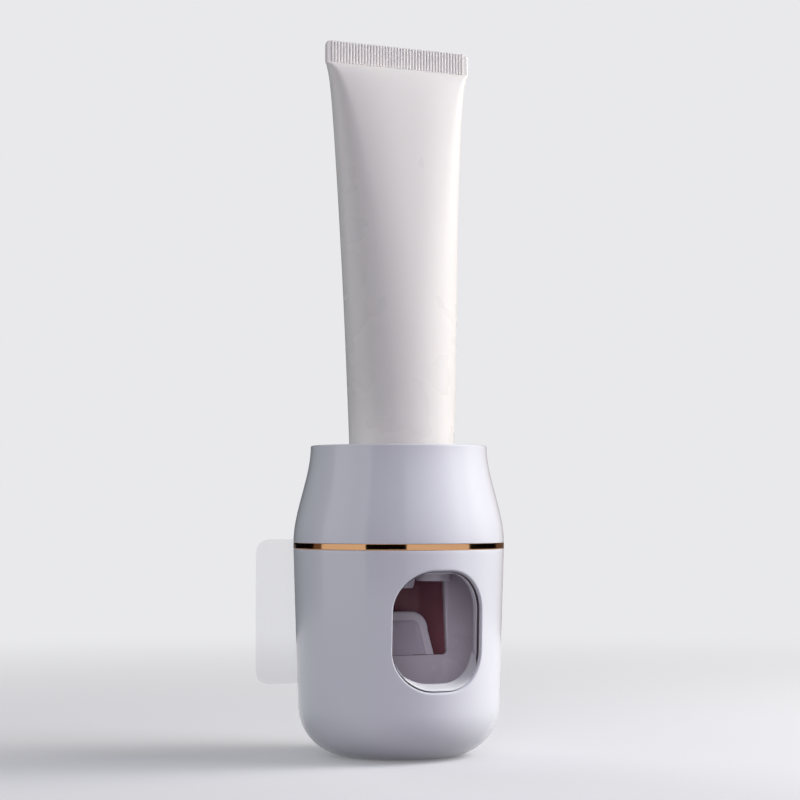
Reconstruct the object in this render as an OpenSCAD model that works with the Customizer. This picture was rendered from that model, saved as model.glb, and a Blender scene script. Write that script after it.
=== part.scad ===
// Wall-mounted toothpaste dispenser with its tube standing in it.
// The housing hangs on a glued plate. A toothbrush pushed in at the window presses the
// paddle, the paddle squeezes the pump bulb, and paste drops from the nozzle.
// Heights inside the housing are counted from the underside of the lower shell.
// The part's origin is the middle of the pad's wall face, with the wall towards +Y.

/* [Wall fixing] */
// Width of the adhesive pad
pad_w = 80; // [60:1:100]
// Height of the adhesive pad
pad_h = 53.5; // [48:0.5:70]
// Thickness of the adhesive pad
pad_t = 1; // [0.5:0.1:1.5]
// Corner radius of the adhesive pad
pad_corner_r = 6; // [2:0.5:12]
// Distance from the top of the lower shell down to the pad's middle
pad_drop = 23.8; // [20:0.2:28]
// Distance from the housing's flat back to the wall
wall_gap = 6; // [5.5:0.1:9]
// Border of the pad below the hook plate
pad_border = 5; // [2:0.5:8]
// Thickness of the hook plate's base
plate_t = 1.8; // [1.2:0.1:2.2]
// Width of the hook plate's base
plate_w = 34; // [28:1:50]
// Width of the block that the hooks stand on
block_w = 28; // [25:0.5:28]
// Width of one hook
hook_w = 5.5; // [3:0.25:6]
// Distance between the middles of the left and right hooks
hook_pitch = 18.1; // [17:0.1:18.5]
// Thickness of a hook's stem
hook_stem_t = 2.4; // [1.5:0.1:3]
// Height of a hook's lip above its stem
hook_lip_h = 4.5; // [3:0.1:5.5]
// Thickness of a hook's lip
hook_lip_t = 1.8; // [1:0.1:2.2]
// Distance from the pad's middle down to the top of the lower hooks' stems
hook_drop = 11.2; // [9:0.1:13]
// Distance from the lower hooks to the upper ones
hook_rise = 20; // [16:0.5:22]

/* [Lower shell] */
// Radius of the housing at the trim ring
body_r = 38; // [37.4:0.1:39]
// How much smaller the radius is where the bottom curve starts
foot_taper = 1.8; // [0.8:0.1:2.2]
// Radius of the curve round the bottom edge
foot_curve_r = 18; // [10:0.5:19]
// Height of the lower shell, up to the trim ring
shell_h = 74; // [73:0.5:80]
// Wall of the lower shell at the trim ring
shell_t = 3.6; // [3.2:0.1:3.8]
// Thickness of the shell's floor
floor_t = 2.4; // [1.6:0.1:4]
// How far the flat at the shell's back is cut in
flat_inset = 4; // [3.4:0.1:4.2]
// Thickness of the flat back wall
back_t = 2.2; // [1.6:0.1:2.4]
// Distance from the top of the shell down to the end of the flat
flat_drop = 3; // [2:0.5:4]
// Thickness of the spigot that the collar fits over
spigot_t = 1.2; // [0.8:0.1:1.3]
// Height of the spigot above the shell
spigot_h = 5.4; // [4:0.1:6]
// Thickness of the ribs under the brush cup
rib_t = 2; // [1:0.1:4]
// Length of the ribs under the brush cup
rib_l = 34; // [20:1:36]

/* [Brush window] */
// Width of the window
window_w = 33.4; // [28:0.2:38]
// Height of the window
window_h = 41.6; // [36:0.2:43]
// Corner radius of the window
window_r = 14; // [8:0.5:16]
// Distance from the top of the shell down to the window's middle
window_drop = 28.2; // [28:0.2:30]
// Gap round the window frame
window_gap = 0.35; // [0.2:0.05:0.6]
// How far the sill's front edge lies behind the shell's face
sill_inset = 2.1; // [1.4:0.1:2.6]
// Height of the sill's front edge above the gap
sill_edge = 0.5; // [0.3:0.1:1.2]
// Slope of the sill, in degrees
sill_angle = 20; // [8:1:30]
// Depth of the sill, from its front edge to the brush cup
sill_depth = 5.2; // [4.6:0.1:6]
// Reach of the frame's flange round the window
flange_w = 2; // [1:0.1:3]
// Thickness of the frame's flange
flange_t = 0.6; // [0.4:0.1:0.7]

/* [Trim ring and collar] */
// Height of the trim ring
ring_h = 2.2; // [1.5:0.1:4]
// Height of the collar
collar_h = 34.8; // [28:0.2:45]
// How much smaller the radius is at the collar's rim
rim_taper = 6.2; // [4:0.2:7]
// Wall of the collar
collar_t = 2; // [1.4:0.1:2.2]

/* [Brush cup] */
// Gap between the brush cup and the shell's wall
cup_gap = 1; // [0.8:0.1:1.4]
// Wall of the brush cup
cup_t = 1.8; // [1.2:0.1:1.9]
// Height of the brush cup
cup_h = 46.6; // [45:0.1:48]
// Thickness of the cup's floor
cup_floor_t = 2; // [1:0.1:3]
// Height of the rear wall below the paddle, from the cup's underside
seam_h = 15.1; // [14.5:0.1:17]
// Width of the rear wall left beside the opening, at the seam
opening_land = 0.25; // [0.2:0.05:2.5]
// How much narrower the opening is at the ceiling, at each side
opening_taper = 1.5; // [0:0.1:3]
// Radius of the rear opening's lower corners
opening_corner_r = 1.6; // [1:0.1:3]

/* [Paddle] */
// Distance from the ceiling down to the paddle's top edge
paddle_drop = 15.2; // [12:0.1:17]
// Gap between the paddle and the opening's sides, at the seam
paddle_gap = 5; // [3:0.1:6]
// How much narrower the paddle is at its top, at each side
paddle_taper = 2.5; // [1:0.1:5]
// Radius of the paddle's top corners
paddle_corner_r = 7; // [3:0.5:9]
// Thickness of the paddle
paddle_t = 4.2; // [3.6:0.1:4.4]
// Width of the paddle's raised border
border_w = 3.4; // [2:0.1:5]
// Depth of the dish inside the border
dish_d = 1; // [0.5:0.1:1.4]
// Half width of the leg behind the rear wall
leg_x = 14; // [11:0.5:15]
// Radius of the hinge pin
pin_r = 1.25; // [1:0.05:1.5]
// Distance from the cup's underside down to the hinge pin
pin_drop = 1.4; // [1.2:0.1:2]
// Wall of the knuckles round the pin
knuckle_t = 1.9; // [1.4:0.1:2]
// Running clearance round the pin
pin_fit = 0.06; // [0.03:0.01:0.1]
// Thickness of the ears that hold the pin
ear_t = 3; // [2:0.1:4]
// Radius of the return spring's wire
wire_r = 0.35; // [0.25:0.05:0.45]
// Turns of the return spring
spring_turns = 5; // [3:1:6]

/* [Pump] */
// Distance from the paddle's top edge down to the pump bulb's middle
bulb_drop = 5.4; // [5:0.1:7]
// Radius of the pump bulb
bulb_r = 9.5; // [8:0.1:10]
// Wall of the pump bulb
bulb_t = 1.2; // [0.8:0.1:1.6]
// Radius of the bulb's flange
bulb_flange_r = 12; // [11.5:0.1:12.5]
// Thickness of the bulb's flange
bulb_flange_t = 1; // [0.6:0.1:1.1]
// Thickness of the ring that clamps the bulb
clamp_t = 0.6; // [0.4:0.1:0.8]
// Room behind the pump body's face, up to the shell's back wall
pump_room = 5.8; // [5.7:0.1:6]
// Distance from the rear wall's face to the pump body's face
pump_reach = 10; // [9.8:0.1:10.4]
// Thickness of the pump body's plate
pump_t = 2.8; // [2.6:0.1:2.9]
// Thickness of the wings that close the space beside the paddle
wing_t = 1.7; // [1:0.1:1.9]
// Height of the pump body below the bulb's middle
pump_skirt = 13.5; // [13:0.5:16]
// Half width of the pump body's spine
spine_x = 4.5; // [4:0.1:5]
// Radius of the pump's upright duct
duct_r = 1.25; // [0.8:0.05:1.4]
// Radius of the ports and the level ducts
port_r = 1.8; // [1.2:0.05:1.9]
// Thickness of the port gasket
gasket_t = 0.7; // [0.4:0.1:1]

/* [Carrier] */
// Distance from the top of the shell down to the brush cup's ceiling
ceiling_drop = 8.4; // [8:0.1:9]
// Thickness of the carrier
carrier_t = 2.5; // [2:0.1:2.6]
// Half width of the duct block
block_x = 8; // [7:0.1:9]
// Height of the duct block above the ceiling
duct_block_h = 10.9; // [10.6:0.1:11.2]
// Reach of the duct block in front of the axis
duct_front = 8; // [7:0.1:10]
// Distance between the middles of the two screw pads
pad_pitch = 28; // [27:0.1:29]
// Radius of a screw pad
screw_pad_r = 6.5; // [4:0.1:7]
// Depth of a screw pad below the ceiling
screw_pad_h = 3.4; // [2.5:0.1:4]
// How far the nozzle stands in front of the axis
nozzle_front = 3; // [1:0.1:5]
// Radius of the nozzle at its root
nozzle_root_r = 5.2; // [4.6:0.1:6]
// Radius of the nozzle at its tip
nozzle_tip_r = 4; // [3.6:0.1:4.4]
// Length of the nozzle below the ceiling
nozzle_l = 5.7; // [3.5:0.1:6]
// Radius of the nozzle's bore
nozzle_bore_r = 2.2; // [1.5:0.1:2.4]

/* [Tube socket] */
// Thickness of the socket's foot
socket_foot_t = 1.5; // [1.2:0.1:2.5]
// Depth of the socket's cup
socket_h = 7; // [5:0.1:7.4]
// Wall of the socket's cup
socket_t = 3.4; // [2:0.1:4]
// Thickness of the seal under the tube's neck
seal_t = 1; // [0.6:0.1:1.6]

/* [Toothpaste tube] */
// Diameter of the round tube at its shoulder
tube_d = 35.6; // [30:0.1:38]
// Length of the tube's neck
neck_l = 6.2; // [5.6:0.1:7]
// Length of the sleeve without its crimp
sleeve_l = 159.8; // [110:0.2:180]
// Height of the crimp
crimp_h = 8; // [5:0.5:12]
// Thickness of the crimp
crimp_t = 0.9; // [0.6:0.1:1.4]
// Corner radius of the crimp
crimp_r = 2; // [0.5:0.1:3]
// Half depth that the filled part of the tube swells to
swell = 16; // [13:0.1:16.8]
// How quickly the tube swells below its crimp: a lower number is quicker
swell_power = 0.32; // [0.28:0.01:0.6]
// Height of the tube's conical shoulder
shoulder_h = 4; // [3:0.1:4.6]
// Radius of the tube's neck
neck_r = 7.5; // [6:0.1:8]
// Radius of the neck's bore
neck_bore_r = 4; // [3:0.1:5]
// Height of one thread ridge on the neck
ridge_h = 0.6; // [0.3:0.1:0.7]
// Wall of the shoulder
shoulder_t = 1.4; // [1:0.1:1.6]

/* [Fasteners and fits] */
// Radius of a screw's shank
screw_r = 1.1; // [0.9:0.05:1.2]
// Radius of a screw's head
head_r = 2; // [1.8:0.1:2.2]
// Thickness of a screw's head
head_t = 1.2; // [0.8:0.1:1.4]
// Depth that a screw bites into plastic
bite = 5; // [4:0.1:5.5]
// Radial clearance round a shank in its pilot hole
pilot_fit = 0.05; // [0.03:0.01:0.1]
// Radial clearance round a shank in a plain hole
screw_clear = 0.2; // [0.1:0.05:0.4]
// Gap between pieces that are seated but not fixed
seat_gap = 0.3; // [0.2:0.05:0.35]
// Radial gap round plugged-in pieces
plug_gap = 0.1; // [0.05:0.05:0.2]

/* [Hidden] */
$fn = 96;

// Overrun of a cutter past the face that it cuts
over = 1;

// Housing radii, and depths behind the axis
shell_in_r = body_r - shell_t;
foot_r = body_r - foot_taper;
spigot_r = shell_in_r + spigot_t;
rim_r = body_r - rim_taper;
cup_r = shell_in_r - cup_gap;
cup_in_r = cup_r - cup_t;
flat_y = body_r - flat_inset;
back_y = flat_y - back_t;
inner_curve_r = foot_curve_r - floor_t;

// Heights in the housing
flat_top_z = shell_h - flat_drop;
window_z = shell_h - window_drop;
ceiling_z = shell_h - ceiling_drop;
cup_z = ceiling_z - cup_h;
seam_z = cup_z + seam_h;
ring_z = shell_h;
collar_z = ring_z + ring_h;
rim_z = collar_z + collar_h;

// Wall fixing, in depth from the housing's axis
axis_to_wall = flat_y + wall_gap;
pad_mid_z = shell_h - pad_drop;
hook_low_z = pad_mid_z - hook_drop;
pad_y = axis_to_wall - pad_t;
plate_y = pad_y - plate_t;
block_y = flat_y + seat_gap;
plate_low_z = pad_mid_z - pad_h / 2 + pad_border;
plate_high_z = flat_top_z - 2 * seat_gap;
block_low_z = plate_low_z + 2;
block_high_z = plate_high_z - 2;
lip_y = flat_y - back_t - seat_gap;
slot_w = hook_w + 2 * seat_gap;
hook_tops = [hook_low_z, hook_low_z + hook_rise];
// Travel that frees the lips from the slots, with a gap left above them
lift_travel = hook_lip_h + 0.5;
slot_h = hook_stem_t + lift_travel + seat_gap;

// Brush cup, paddle and hinge
pump_y = back_y - pump_room;
rear_y = pump_y - pump_reach;
opening_low_x = sqrt(cup_in_r * cup_in_r - rear_y * rear_y) - opening_land;
opening_high_x = opening_low_x - opening_taper;
paddle_low_x = opening_low_x - paddle_gap;
paddle_high_x = paddle_low_x - paddle_taper;
paddle_top_z = ceiling_z - paddle_drop;
rear_out_y = rear_y + cup_t;
pin_z = cup_z - pin_drop;
leg_y = rear_out_y + seat_gap;
paddle_back_y = rear_y + paddle_t;
knuckle_r = pin_r + knuckle_t;
pin_y = rear_out_y + knuckle_r + seat_gap;
ear_x = leg_x + seat_gap;
pin_l = 2 * (ear_x + ear_t);
spring_x = 4;
coil_play = 0.4;
coil_r = pin_r + coil_play + wire_r;
// Heights above the pin where the spring's front leg bends upright, where it ends, and
// where its rear leg rests on the back wall
leg_bend = 5;
leg_reach = 8;
rear_reach = 2;

// Pump and ducts
bulb_z = paddle_top_z - bulb_drop;
pump_low_z = bulb_z - pump_skirt;
bulb_front_y = paddle_back_y + seat_gap;
pocket_d = bulb_flange_t + clamp_t;
spine_y = back_y - seat_gap;
duct_y = (pump_y + pocket_d + spine_y) / 2;
block_top_z = ceiling_z + duct_block_h;
inlet_z = block_top_z - port_r - 0.7;
outlet_z = inlet_z - 2 * port_r - 1;
riser_top_z = block_top_z + 1.5;
valve_r = port_r + 0.6;
valve_t = 0.6;
// Width of the slits in the two valves
slit_w = 0.3;
boss_r = screw_r + 1.1;
boss_x = 15;
boss_y = pump_y + boss_r;
boss_l = 8;

// Carrier, and the two lugs that the back screws hold it by
carrier_r = shell_in_r - seat_gap;
carrier_top_z = ceiling_z + carrier_t;
lug_x = 9.5;
lug_w = 4.6;
lug_l = 9;
lug_h = 5.6;
back_screw_z = carrier_top_z + 0.4;
counterbore_d = head_t + 0.1;
nozzle_plug_r = nozzle_bore_r + 1.8;
nozzle_root_z = ceiling_z + carrier_t - 0.8;
// The outlet valve: its underside, thickness and radius
outlet_valve_z = ceiling_z - nozzle_l + 0.8;
outlet_valve_t = 1;
outlet_valve_r = nozzle_bore_r + 0.6;

// Tube and socket
foot_top_z = block_top_z + socket_foot_t;
neck_end_z = foot_top_z + seal_t;
tube_r = tube_d / 2;
neck_top_z = neck_end_z + neck_l;
sleeve_z = neck_top_z + shoulder_h;
socket_in_r = neck_r + ridge_h + seat_gap;
socket_r = socket_in_r + socket_t;
socket_leg_r = 3.8;
flat_half_w = PI * tube_r / 2;
sleeve_rings = 22;
sleeve_sides = 40;

// Puts a piece from housing heights and depths into the part's own frame
module in_frame() {
    translate([0, -axis_to_wall, -pad_mid_z]) children();
}

// Rectangle with round corners, about its middle
module round_rect(w, h, r) {
    square([w - 2 * r, h], center = true);
    square([w, h - 2 * r], center = true);
    for (x = [-1, 1], y = [-1, 1])
        translate([x * (w / 2 - r), y * (h / 2 - r)]) circle(r);
}

// Extrudes an outline drawn in X and Z from depth y0 to depth y1
module through_y(y0, y1) {
    translate([0, y1, 0]) rotate([90, 0, 0]) linear_extrude(y1 - y0) children();
}

// Straight bar of round section along X, Y or Z
module rod_x(r, x0, x1) {
    translate([x0, 0, 0]) rotate([0, 90, 0]) cylinder(h = x1 - x0, r = r);
}

module rod_y(r, y0, y1) {
    translate([0, y0, 0]) rotate([-90, 0, 0]) cylinder(h = y1 - y0, r = r);
}

module rod_z(r, z0, z1) {
    translate([0, 0, z0]) cylinder(h = z1 - z0, r = r);
}

// Box given by its half width and its ends in Y and Z
module slab(x, y0, y1, z0, z1) {
    translate([-x, y0, z0]) cube([2 * x, y1 - y0, z1 - z0]);
}

// Copies a piece to the left and to the right
module both_sides(x) {
    for (side = [-1, 1]) translate([side * x, 0, 0]) children();
}

// The window's outline, grown or shrunk by one margin, cut through the housing's front
module window_cut(margin) {
    translate([0, 0, window_z])
        through_y(-body_r - over, -rear_y)
            round_rect(window_w + 2 * margin, window_h + 2 * margin, window_r + margin);
}

// Ring between two radii
module annulus(r_in, r_out, z0, z1) {
    difference() {
        rod_z(r_out, z0, z1);
        rod_z(r_in, z0 - over, z1 + over);
    }
}

module screw(length) {
    rod_z(head_r, 0, head_t);
    rod_z(screw_r, -length, head_t / 2);
}

module adhesive_pad() {
    color("#B9C0C4", 0.5) in_frame()
        translate([0, 0, pad_mid_z])
            through_y(pad_y, axis_to_wall) round_rect(pad_w, pad_h, pad_corner_r);
}

// One hook: a stem out of the block and a lip that points up
module hook() {
    slab(hook_w / 2, lip_y - hook_lip_t, block_y + over, -hook_stem_t, 0);
    slab(hook_w / 2, lip_y - hook_lip_t, lip_y, -hook_stem_t, hook_lip_h);
}

module hook_plate() {
    color("#E8E9EC") in_frame() {
        slab(plate_w / 2, plate_y, pad_y, plate_low_z, plate_high_z);
        slab(block_w / 2, block_y, plate_y + over / 2, block_low_z, block_high_z);
        both_sides(hook_pitch / 2)
            for (z = hook_tops) translate([0, 0, z]) hook();
    }
}

// Half section of the shell's outer form
module shell_profile() {
    polygon([
        [0, 0], [foot_r - foot_curve_r, 0], [foot_r - foot_curve_r, foot_curve_r],
        [foot_r, foot_curve_r], [body_r, shell_h], [0, shell_h]
    ]);
    intersection() {
        translate([foot_r - foot_curve_r, foot_curve_r]) circle(foot_curve_r);
        square([foot_r, foot_curve_r]);
    }
}

// Half section of the space inside the shell
module cavity_profile() {
    polygon([
        [0, floor_t], [shell_in_r - inner_curve_r, floor_t],
        [shell_in_r - inner_curve_r, floor_t + inner_curve_r],
        [shell_in_r, floor_t + inner_curve_r],
        [shell_in_r, shell_h + spigot_h + over], [0, shell_h + spigot_h + over]
    ]);
    intersection() {
        translate([shell_in_r - inner_curve_r, floor_t + inner_curve_r]) circle(inner_curve_r);
        square([shell_in_r, floor_t + inner_curve_r]);
    }
}

module lower_shell() {
    color("#F1F2F6") in_frame() difference() {
        union() {
            difference() {
                union() {
                    rotate_extrude() shell_profile();
                    rod_z(spigot_r, shell_h - over, shell_h + spigot_h);
                }
                slab(body_r, flat_y, body_r + over, -over, flat_top_z);
                difference() {
                    rotate_extrude() cavity_profile();
                    slab(body_r, back_y, body_r + over, 0, flat_top_z + back_t);
                }
            }
            slab(rib_l / 2, -rib_t / 2, rib_t / 2, floor_t / 2, cup_z);
            slab(rib_t / 2, -rib_l / 2, rear_y, floor_t / 2, cup_z);
        }
        window_cut(0);
        both_sides(lug_x) translate([0, 0, back_screw_z]) {
            rod_y(screw_r + screw_clear, back_y - over, flat_y + over);
            rod_y(head_r + screw_clear, flat_y - counterbore_d, flat_y + over);
        }
        both_sides(hook_pitch / 2)
            for (z = hook_tops) slab(slot_w / 2, back_y - over, flat_y + over, z - slot_h, z);
    }
}

module trim_ring() {
    color("#D9A877") in_frame() difference() {
        rod_z(body_r, ring_z, collar_z);
        rod_z(spigot_r + plug_gap, ring_z - over, collar_z + over);
    }
}

// Thin wall between two margins round the window, seen from the front
module window_ring(outer, inner) {
    difference() {
        window_cut(outer);
        window_cut(inner);
    }
}

// Flange behind the shell's wall, and the sill: what is left between the window's lower
// outline and the same outline tilted up
module window_frame() {
    sill_front_r = body_r - sill_inset;
    flange_r = shell_in_r - seat_gap / 2;
    low_z = window_z - window_h / 2 + window_gap;
    color("#F4F5F8") in_frame() {
        intersection() {
            window_ring(flange_w, -window_gap);
            annulus(flange_r - flange_t, flange_r, 0, shell_h);
        }
        difference() {
            intersection() {
                window_cut(-window_gap + flange_t / 2);
                annulus(sill_front_r - sill_depth, sill_front_r, 0, window_z);
            }
            difference() {
                annulus(flange_r, body_r + over, 0, shell_h);
                window_cut(-window_gap);
            }
            translate([0, -sill_front_r, low_z + sill_edge]) rotate([sill_angle, 0, 0])
                translate([0, sill_front_r, -low_z + window_gap]) window_cut(0);
        }
    }
}

// Plan of the brush cup: a circle with a straight rear side
module cup_plan(r, y) {
    intersection() {
        circle(r);
        translate([-r, -r]) square([2 * r, r + y]);
    }
}

// Rear opening in X and Z, with round lower corners
module opening_outline(low_z) {
    corner_x = opening_low_x - opening_corner_r;
    difference() {
        polygon([
            [-opening_low_x, low_z], [opening_low_x, low_z],
            [opening_high_x, ceiling_z + over], [-opening_high_x, ceiling_z + over]
        ]);
        for (side = [-1, 1]) difference() {
            translate([side > 0 ? corner_x : -opening_low_x, low_z])
                square([opening_corner_r, opening_corner_r]);
            translate([side * corner_x, low_z + opening_corner_r]) circle(opening_corner_r);
        }
    }
}

module brush_cup() {
    color("#8D8891") in_frame() difference() {
        union() {
            difference() {
                translate([0, 0, cup_z]) linear_extrude(ceiling_z - cup_z)
                    cup_plan(cup_r, rear_out_y);
                translate([0, 0, cup_z + cup_floor_t]) linear_extrude(ceiling_z)
                    cup_plan(cup_in_r, rear_y);
            }
            both_sides(ear_x + ear_t / 2)
                slab(ear_t / 2, rear_y + cup_t / 2, pin_y + knuckle_r,
                    pin_z - knuckle_r, cup_z + cup_floor_t + over);
            both_sides(ear_x + ear_t / 2)
                slab(ear_t / 2, rear_y - knuckle_r, pin_y + knuckle_r,
                    pin_z - knuckle_r, cup_z + over / 2);
        }
        window_cut(0);
        through_y(rear_y - over / 2, rear_out_y + over / 2) opening_outline(seam_z);
        translate([0, pin_y, pin_z])
            rod_x(pin_r + pin_fit, -pin_l / 2 - over, pin_l / 2 + over);
    }
}

module nozzle_seat(r, z0, z1) {
    translate([0, -nozzle_front, 0]) rod_z(r, z0, z1);
}

module carrier() {
    color("#8D8891") in_frame() difference() {
        union() {
            translate([0, 0, ceiling_z]) linear_extrude(carrier_t)
                cup_plan(carrier_r, spine_y);
            slab(block_x, -duct_front, pump_y - gasket_t, ceiling_z + over, block_top_z);
            both_sides(pad_pitch / 2)
                rod_z(screw_pad_r, ceiling_z - screw_pad_h, ceiling_z + over);
            both_sides(lug_x)
                slab(lug_w / 2, spine_y - lug_l, spine_y, ceiling_z, ceiling_z + lug_h);
        }
        difference() {
            window_cut(flange_w + seat_gap);
            rod_z(cup_in_r - seat_gap, 0, shell_h);
        }
        both_sides(lug_x) translate([0, 0, back_screw_z])
            rod_y(screw_r + pilot_fit, spine_y - lug_l + 1.5, spine_y + over);
        slab(spine_x + seat_gap, pump_y - gasket_t, body_r, ceiling_z - over, riser_top_z);
        both_sides(boss_x) translate([0, boss_y, 0])
            rod_z(screw_r + screw_clear, ceiling_z - over, carrier_top_z + over);
        both_sides(pad_pitch / 2) {
            rod_z(screw_r + screw_clear, 0, carrier_top_z + over);
            rod_z(head_r + screw_clear, 0, ceiling_z - screw_pad_h + 2);
        }
        rod_z(nozzle_bore_r, inlet_z, block_top_z + over);
        translate([0, 0, inlet_z]) rod_y(port_r, 0, pump_y + over);
        translate([0, 0, outlet_z]) rod_y(port_r, -nozzle_front, pump_y + over);
        nozzle_seat(nozzle_bore_r, ceiling_z, outlet_z);
        nozzle_seat(nozzle_plug_r + plug_gap, ceiling_z - over, nozzle_root_z + plug_gap);
    }
}

module back_screws() {
    color("#A8A9AD") in_frame()
        both_sides(lug_x) translate([0, flat_y - head_t, back_screw_z]) rotate([-90, 0, 0])
            screw(flat_y - head_t - spine_y + lug_l - 2.5);
}

module pump_body() {
    color("#4A2A30") in_frame() difference() {
        union() {
            intersection() {
                union() {
                    slab(carrier_r, pump_y, pump_y + pump_t, pump_low_z, ceiling_z);
                    difference() {
                        slab(carrier_r, leg_y, pump_y + over, pump_low_z, ceiling_z);
                        rod_z(carrier_r - wing_t, 0, shell_h);
                    }
                }
                rod_z(carrier_r, 0, shell_h);
            }
            slab(spine_x, pump_y + pump_t / 2, spine_y, bulb_z - port_r - 2, riser_top_z);
            slab(spine_x, pump_y, spine_y, ceiling_z - over, riser_top_z);
            both_sides(boss_x) translate([0, boss_y, 0])
                rod_z(boss_r, ceiling_z - boss_l, ceiling_z);
        }
        translate([0, 0, bulb_z])
            rod_y(bulb_flange_r + plug_gap, pump_y - over, pump_y + pocket_d);
        translate([0, 0, bulb_z]) rod_y(port_r, pump_y, duct_y);
        for (z = [inlet_z, outlet_z]) translate([0, 0, z]) rod_y(port_r, pump_y - over, duct_y);
        translate([0, 0, inlet_z])
            rod_y(valve_r + plug_gap, pump_y - over, pump_y + valve_t + plug_gap);
        translate([0, duct_y, 0]) rod_z(duct_r, bulb_z, inlet_z);
        both_sides(boss_x) translate([0, boss_y, 0])
            rod_z(screw_r + pilot_fit, ceiling_z - boss_l + 1, ceiling_z + over);
    }
}

module pump_screws() {
    color("#A8A9AD") in_frame()
        both_sides(boss_x) translate([0, boss_y, carrier_top_z]) screw(carrier_t + bite);
}

module port_gasket() {
    color("#C9CBD0") in_frame() difference() {
        slab(spine_x, pump_y - gasket_t, pump_y, outlet_z - port_r - 1, block_top_z);
        for (z = [inlet_z, outlet_z])
            translate([0, 0, z]) rod_y(port_r, pump_y - gasket_t - over, pump_y + over);
    }
}

module inlet_valve() {
    color("#E3E4E8") in_frame()
        translate([0, 0, inlet_z]) difference() {
            rod_y(valve_r, pump_y, pump_y + valve_t);
            slab(slit_w / 2, pump_y - over, pump_y + over + valve_t, -valve_r, valve_r - 1);
        }
}

// Hollow silicone dome with a flange, on an axis along Y
module pump_bulb() {
    dome_l = pump_y + clamp_t - bulb_front_y;
    edge_r = bulb_t + 1;
    color("#6E3B42") in_frame()
        translate([0, pump_y + pocket_d, bulb_z]) rotate([90, 0, 0]) rotate_extrude() difference() {
            union() {
                square([bulb_flange_r, bulb_flange_t]);
                square([bulb_r, bulb_flange_t + dome_l - edge_r]);
                square([bulb_r - edge_r, bulb_flange_t + dome_l]);
                translate([bulb_r - edge_r, bulb_flange_t + dome_l - edge_r]) circle(edge_r);
            }
            translate([0, -over])
                square([bulb_r - bulb_t, bulb_flange_t + dome_l - bulb_t + over]);
        }
}

module bulb_clamp() {
    color("#5A343A") in_frame() translate([0, 0, bulb_z]) difference() {
        rod_y(bulb_flange_r, pump_y, pump_y + clamp_t);
        rod_y(bulb_r + plug_gap, pump_y - over, pump_y + clamp_t + over);
    }
}

module nozzle() {
    color("#9A959E") in_frame() difference() {
        union() {
            nozzle_seat(nozzle_plug_r, ceiling_z - over, nozzle_root_z);
            translate([0, -nozzle_front, ceiling_z - nozzle_l])
                cylinder(h = nozzle_l, r1 = nozzle_tip_r, r2 = nozzle_root_r);
        }
        nozzle_seat(nozzle_bore_r, ceiling_z - nozzle_l - over, ceiling_z + carrier_t + over);
        nozzle_seat(outlet_valve_r + plug_gap, outlet_valve_z,
            outlet_valve_z + outlet_valve_t + plug_gap);
    }
}

// Slit disc that stops the paste from dripping
module outlet_valve() {
    color("#E3E4E8") in_frame() difference() {
        nozzle_seat(outlet_valve_r, outlet_valve_z, outlet_valve_z + outlet_valve_t);
        translate([0, -nozzle_front, 0])
            slab(nozzle_bore_r - 0.6, -slit_w / 2, slit_w / 2,
                outlet_valve_z - over, outlet_valve_z + outlet_valve_t + over);
    }
}

module tube_socket() {
    color("#B4B0B8") in_frame() difference() {
        union() {
            rod_z(socket_r, block_top_z, foot_top_z + socket_h);
            slab(pad_pitch / 2, -socket_leg_r, socket_leg_r, block_top_z, foot_top_z);
            both_sides(pad_pitch / 2) rod_z(socket_leg_r, carrier_top_z, foot_top_z);
        }
        rod_z(socket_in_r, foot_top_z, foot_top_z + socket_h + over);
        rod_z(nozzle_bore_r, block_top_z - over, foot_top_z + over);
        both_sides(pad_pitch / 2)
            rod_z(screw_r + pilot_fit, carrier_top_z - over, foot_top_z - 1.5);
    }
}

module socket_screws() {
    seat_z = ceiling_z - screw_pad_h + 2;
    color("#A8A9AD") in_frame()
        both_sides(pad_pitch / 2) translate([0, 0, seat_z]) mirror([0, 0, 1])
            screw(carrier_top_z - seat_z + bite);
}

module socket_seal() {
    color("#D8D9DC") in_frame()
        annulus(nozzle_bore_r + 0.6, neck_r, foot_top_z, neck_end_z);
}

// Outline of the paddle in X and Z, drawn in by one margin on its top and sides
module paddle_outline(margin, low_z) {
    r = paddle_corner_r - margin;
    top_z = paddle_top_z - margin;
    corner_x = paddle_high_x - paddle_corner_r;
    difference() {
        polygon([
            [-paddle_low_x + margin, low_z], [paddle_low_x - margin, low_z],
            [paddle_high_x - margin, paddle_top_z - paddle_corner_r],
            [paddle_high_x - margin, top_z], [-paddle_high_x + margin, top_z],
            [-paddle_high_x + margin, paddle_top_z - paddle_corner_r]
        ]);
        for (side = [-1, 1]) difference() {
            translate([side > 0 ? corner_x : -corner_x - r - over, top_z - r])
                square([r + over, r + over]);
            translate([side * corner_x, top_z - r]) circle(r);
        }
    }
}

module paddle() {
    tongue_low_z = seam_z + seat_gap;
    color("#8A8590") in_frame() difference() {
        union() {
            through_y(rear_y, rear_y + paddle_t) paddle_outline(0, tongue_low_z);
            slab(leg_x, leg_y, paddle_back_y, pin_z, tongue_low_z + over);
            translate([0, pin_y, pin_z]) rod_x(knuckle_r, -leg_x, leg_x);
        }
        through_y(rear_y - over, rear_y + dish_d) paddle_outline(border_w, tongue_low_z - over);
        translate([0, pin_y, pin_z]) rod_x(pin_r + pin_fit, -leg_x - over, leg_x + over);
        slab(spring_x + seat_gap, 0, body_r, 0, pin_z + leg_bend);
    }
}

module hinge_pin() {
    color("#C4C6CB") in_frame()
        translate([0, pin_y, pin_z]) rod_x(pin_r, -pin_l / 2, pin_l / 2);
}

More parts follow.
